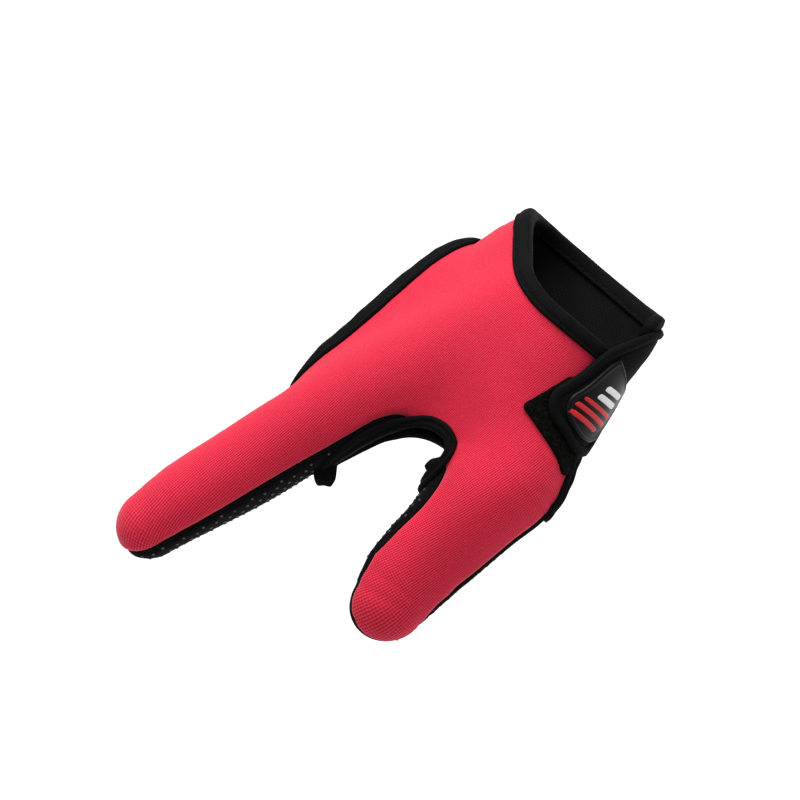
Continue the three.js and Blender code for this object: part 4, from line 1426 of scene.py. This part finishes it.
# Slanted marks on the badge: name, distance from the strap's end, thickness, half length in strap widths
MARK_CORNER = 0.5
MARK_SLANT = 0.5
MARKS = [
    ("badge_slash_1", 13, 2, 0.2, "mark_red"),
    ("badge_slash_2", 16.5, 2, 0.24, "mark_red"),
    ("badge_slash_3", 20, 2, 0.24, "mark_red"),
    ("badge_bar_1", 24, 2.4, 0.16, "mark_white"),
    ("badge_bar_2", 28, 2.4, 0.16, "mark_white"),
]
PAINTS = {"mark_red": MARK_RED, "mark_white": MARK_WHITE}
for name, before_end, thickness, reach, slot in MARKS:
    across = np.abs(STRAP["across"]) - reach * STRAP_WIDTH
    along = np.abs(STRAP["left"] - before_end + MARK_SLANT * STRAP["across"]) - thickness / 2
    shape, low = rounded(across, along, MARK_CORNER), level(BADGE_TOP - 0.1)
    STRAP_PIECES.append((name + "_raised", name, slot, PAINTS[slot], shape, MARK_LEVELS, mark_top, low))
for row in STRAP_PIECES:
    strap_piece(*row)


# Small folded ends of tape that stand out of the seams
END_STEPS = 30
END_SIDES = 24
# Places across and up along the fold, in shares of its reach
END_FOLD = [(-0.3, -0.6), (-0.34, 0.2), (-0.33, 0.7), (0.0, 1.0), (0.33, 0.72), (0.3, 0.2), (0.22, -0.6)]


def folded_end(name, place, stand, ahead, node, width, reach, seed):
    """A flap of tape that leaves the surface towards stand, bends over and comes back. ahead is its width."""
    p, _ = onto_hand(np.array([place]) * [HAND_LENGTH, HAND_WIDTH, HAND_DEPTH])
    p, stand = p[0], unit(stand)
    ahead = unit(tangential(ahead, stand))
    side = np.cross(stand, ahead)
    line = Curve([p + stand * reach * h + side * reach * s for s, h in END_FOLD])
    rings = []
    for i in range(END_STEPS + 1):
        t = i / END_STEPS
        centre, along = line.point(t), line.tangent(t)
        thin = unit(np.cross(ahead, along))
        swell = 1 - 0.4 * math.exp(-((t - 0.5) / 0.13) ** 2) + 0.05 * math.sin(9 * t + seed)
        for k in range(END_SIDES):
            a = 2 * math.pi * k / END_SIDES
            x = math.copysign(abs(math.cos(a)) ** 0.6, math.cos(a)) * width / 2 * swell
            y = math.copysign(abs(math.sin(a)) ** 0.8, math.sin(a)) * 0.6
            rings.append(centre + ahead * x + thin * (y + 0.18 * math.sin(x * 1.5 + seed + 3 * t)))
    faces = tube_faces(END_STEPS + 1, END_SIDES, closed=False, cap=True)
    step, turn = np.divmod(np.arange(len(rings)), END_SIDES)
    uv = np.stack([reach * 3 * step / END_STEPS, width * turn / END_SIDES], 1) / UV_SPAN
    piece(name, np.array(rings), faces, TAPE_CLOTH, [node], uv)


FOLDED_ENDS = [
    ("index", (-1.33, -0.448, -0.275), -up - 0.12 * right, right, 7.2, 6.6, 3),
    ("thumb", (-0.852, -0.644, -0.335), -right - 0.25 * up, up, 5.4, 4.6, 5),
    ("ulnar", (-0.2, 0.375, 0.15), up - 0.2 * right, right, 2.4, 3.2, 8),
]
for name, place, stand, ahead, width, reach, seed in FOLDED_ENDS:
    folded_end(name + "_tape_fold", place, stand, ahead, name + "_tape_end", width, reach, seed)

vertices, faces = joined(stitch_parts)
piece("tape_stitches", vertices, faces, THREAD)

# Floor and light, in metres
FLOOR_HALF = 6
FLOOR_HEIGHT = -0.42
FLOOR_WHITE = 0.93
corners = [(x * FLOOR_HALF, y * FLOOR_HALF, FLOOR_HEIGHT) for x, y in ((-1, -1), (1, -1), (1, 1), (-1, 1))]
floor = mesh_object("floor", corners, [(0, 1, 2, 3)])
paper = bpy.data.materials.new("floor_paper")
paper.use_nodes = True
paper_inputs = paper.node_tree.nodes["Principled BSDF"].inputs
paper_inputs["Base Color"].default_value = (FLOOR_WHITE, FLOOR_WHITE, FLOOR_WHITE, 1)
paper_inputs["Roughness"].default_value = 0.9
floor.data.materials.append(paper)


def softbox(name, direction, distance, size, power):
    """A rectangular light that faces the glove."""
    light = bpy.data.lights.new(name, "AREA")
    light.shape = "RECTANGLE"
    light.size, light.size_y = size
    light.energy = power
    obj = bpy.data.objects.new(name, light)
    bpy.context.scene.collection.objects.link(obj)
    direction = Vector(unit(direction))
    obj.location = Vector(VIEW_CENTRE * MM) + direction * distance
    obj.rotation_mode = "QUATERNION"
    obj.rotation_quaternion = direction.to_track_quat("Z", "Y")


softbox("key", up * 1.0 + back * 0.3 - right * 0.1, 1.3, (1.3, 1.0), 27)
softbox("fill_left", -right * 0.9 + back * 0.7 + up * 0.2, 1.6, (1.2, 1.2), 3.5)
softbox("fill_right", right * 0.9 + back * 0.4 + up * 0.5, 1.6, (1.0, 1.0), 2)
WORLD_LIGHT = 0.46
world = bpy.data.worlds.new("studio")
world.use_nodes = True
world.node_tree.nodes["Background"].inputs["Color"].default_value = (1, 1, 1, 1)
world.node_tree.nodes["Background"].inputs["Strength"].default_value = WORLD_LIGHT
bpy.context.scene.world = world
bpy.context.scene.view_settings.view_transform = "Standard"
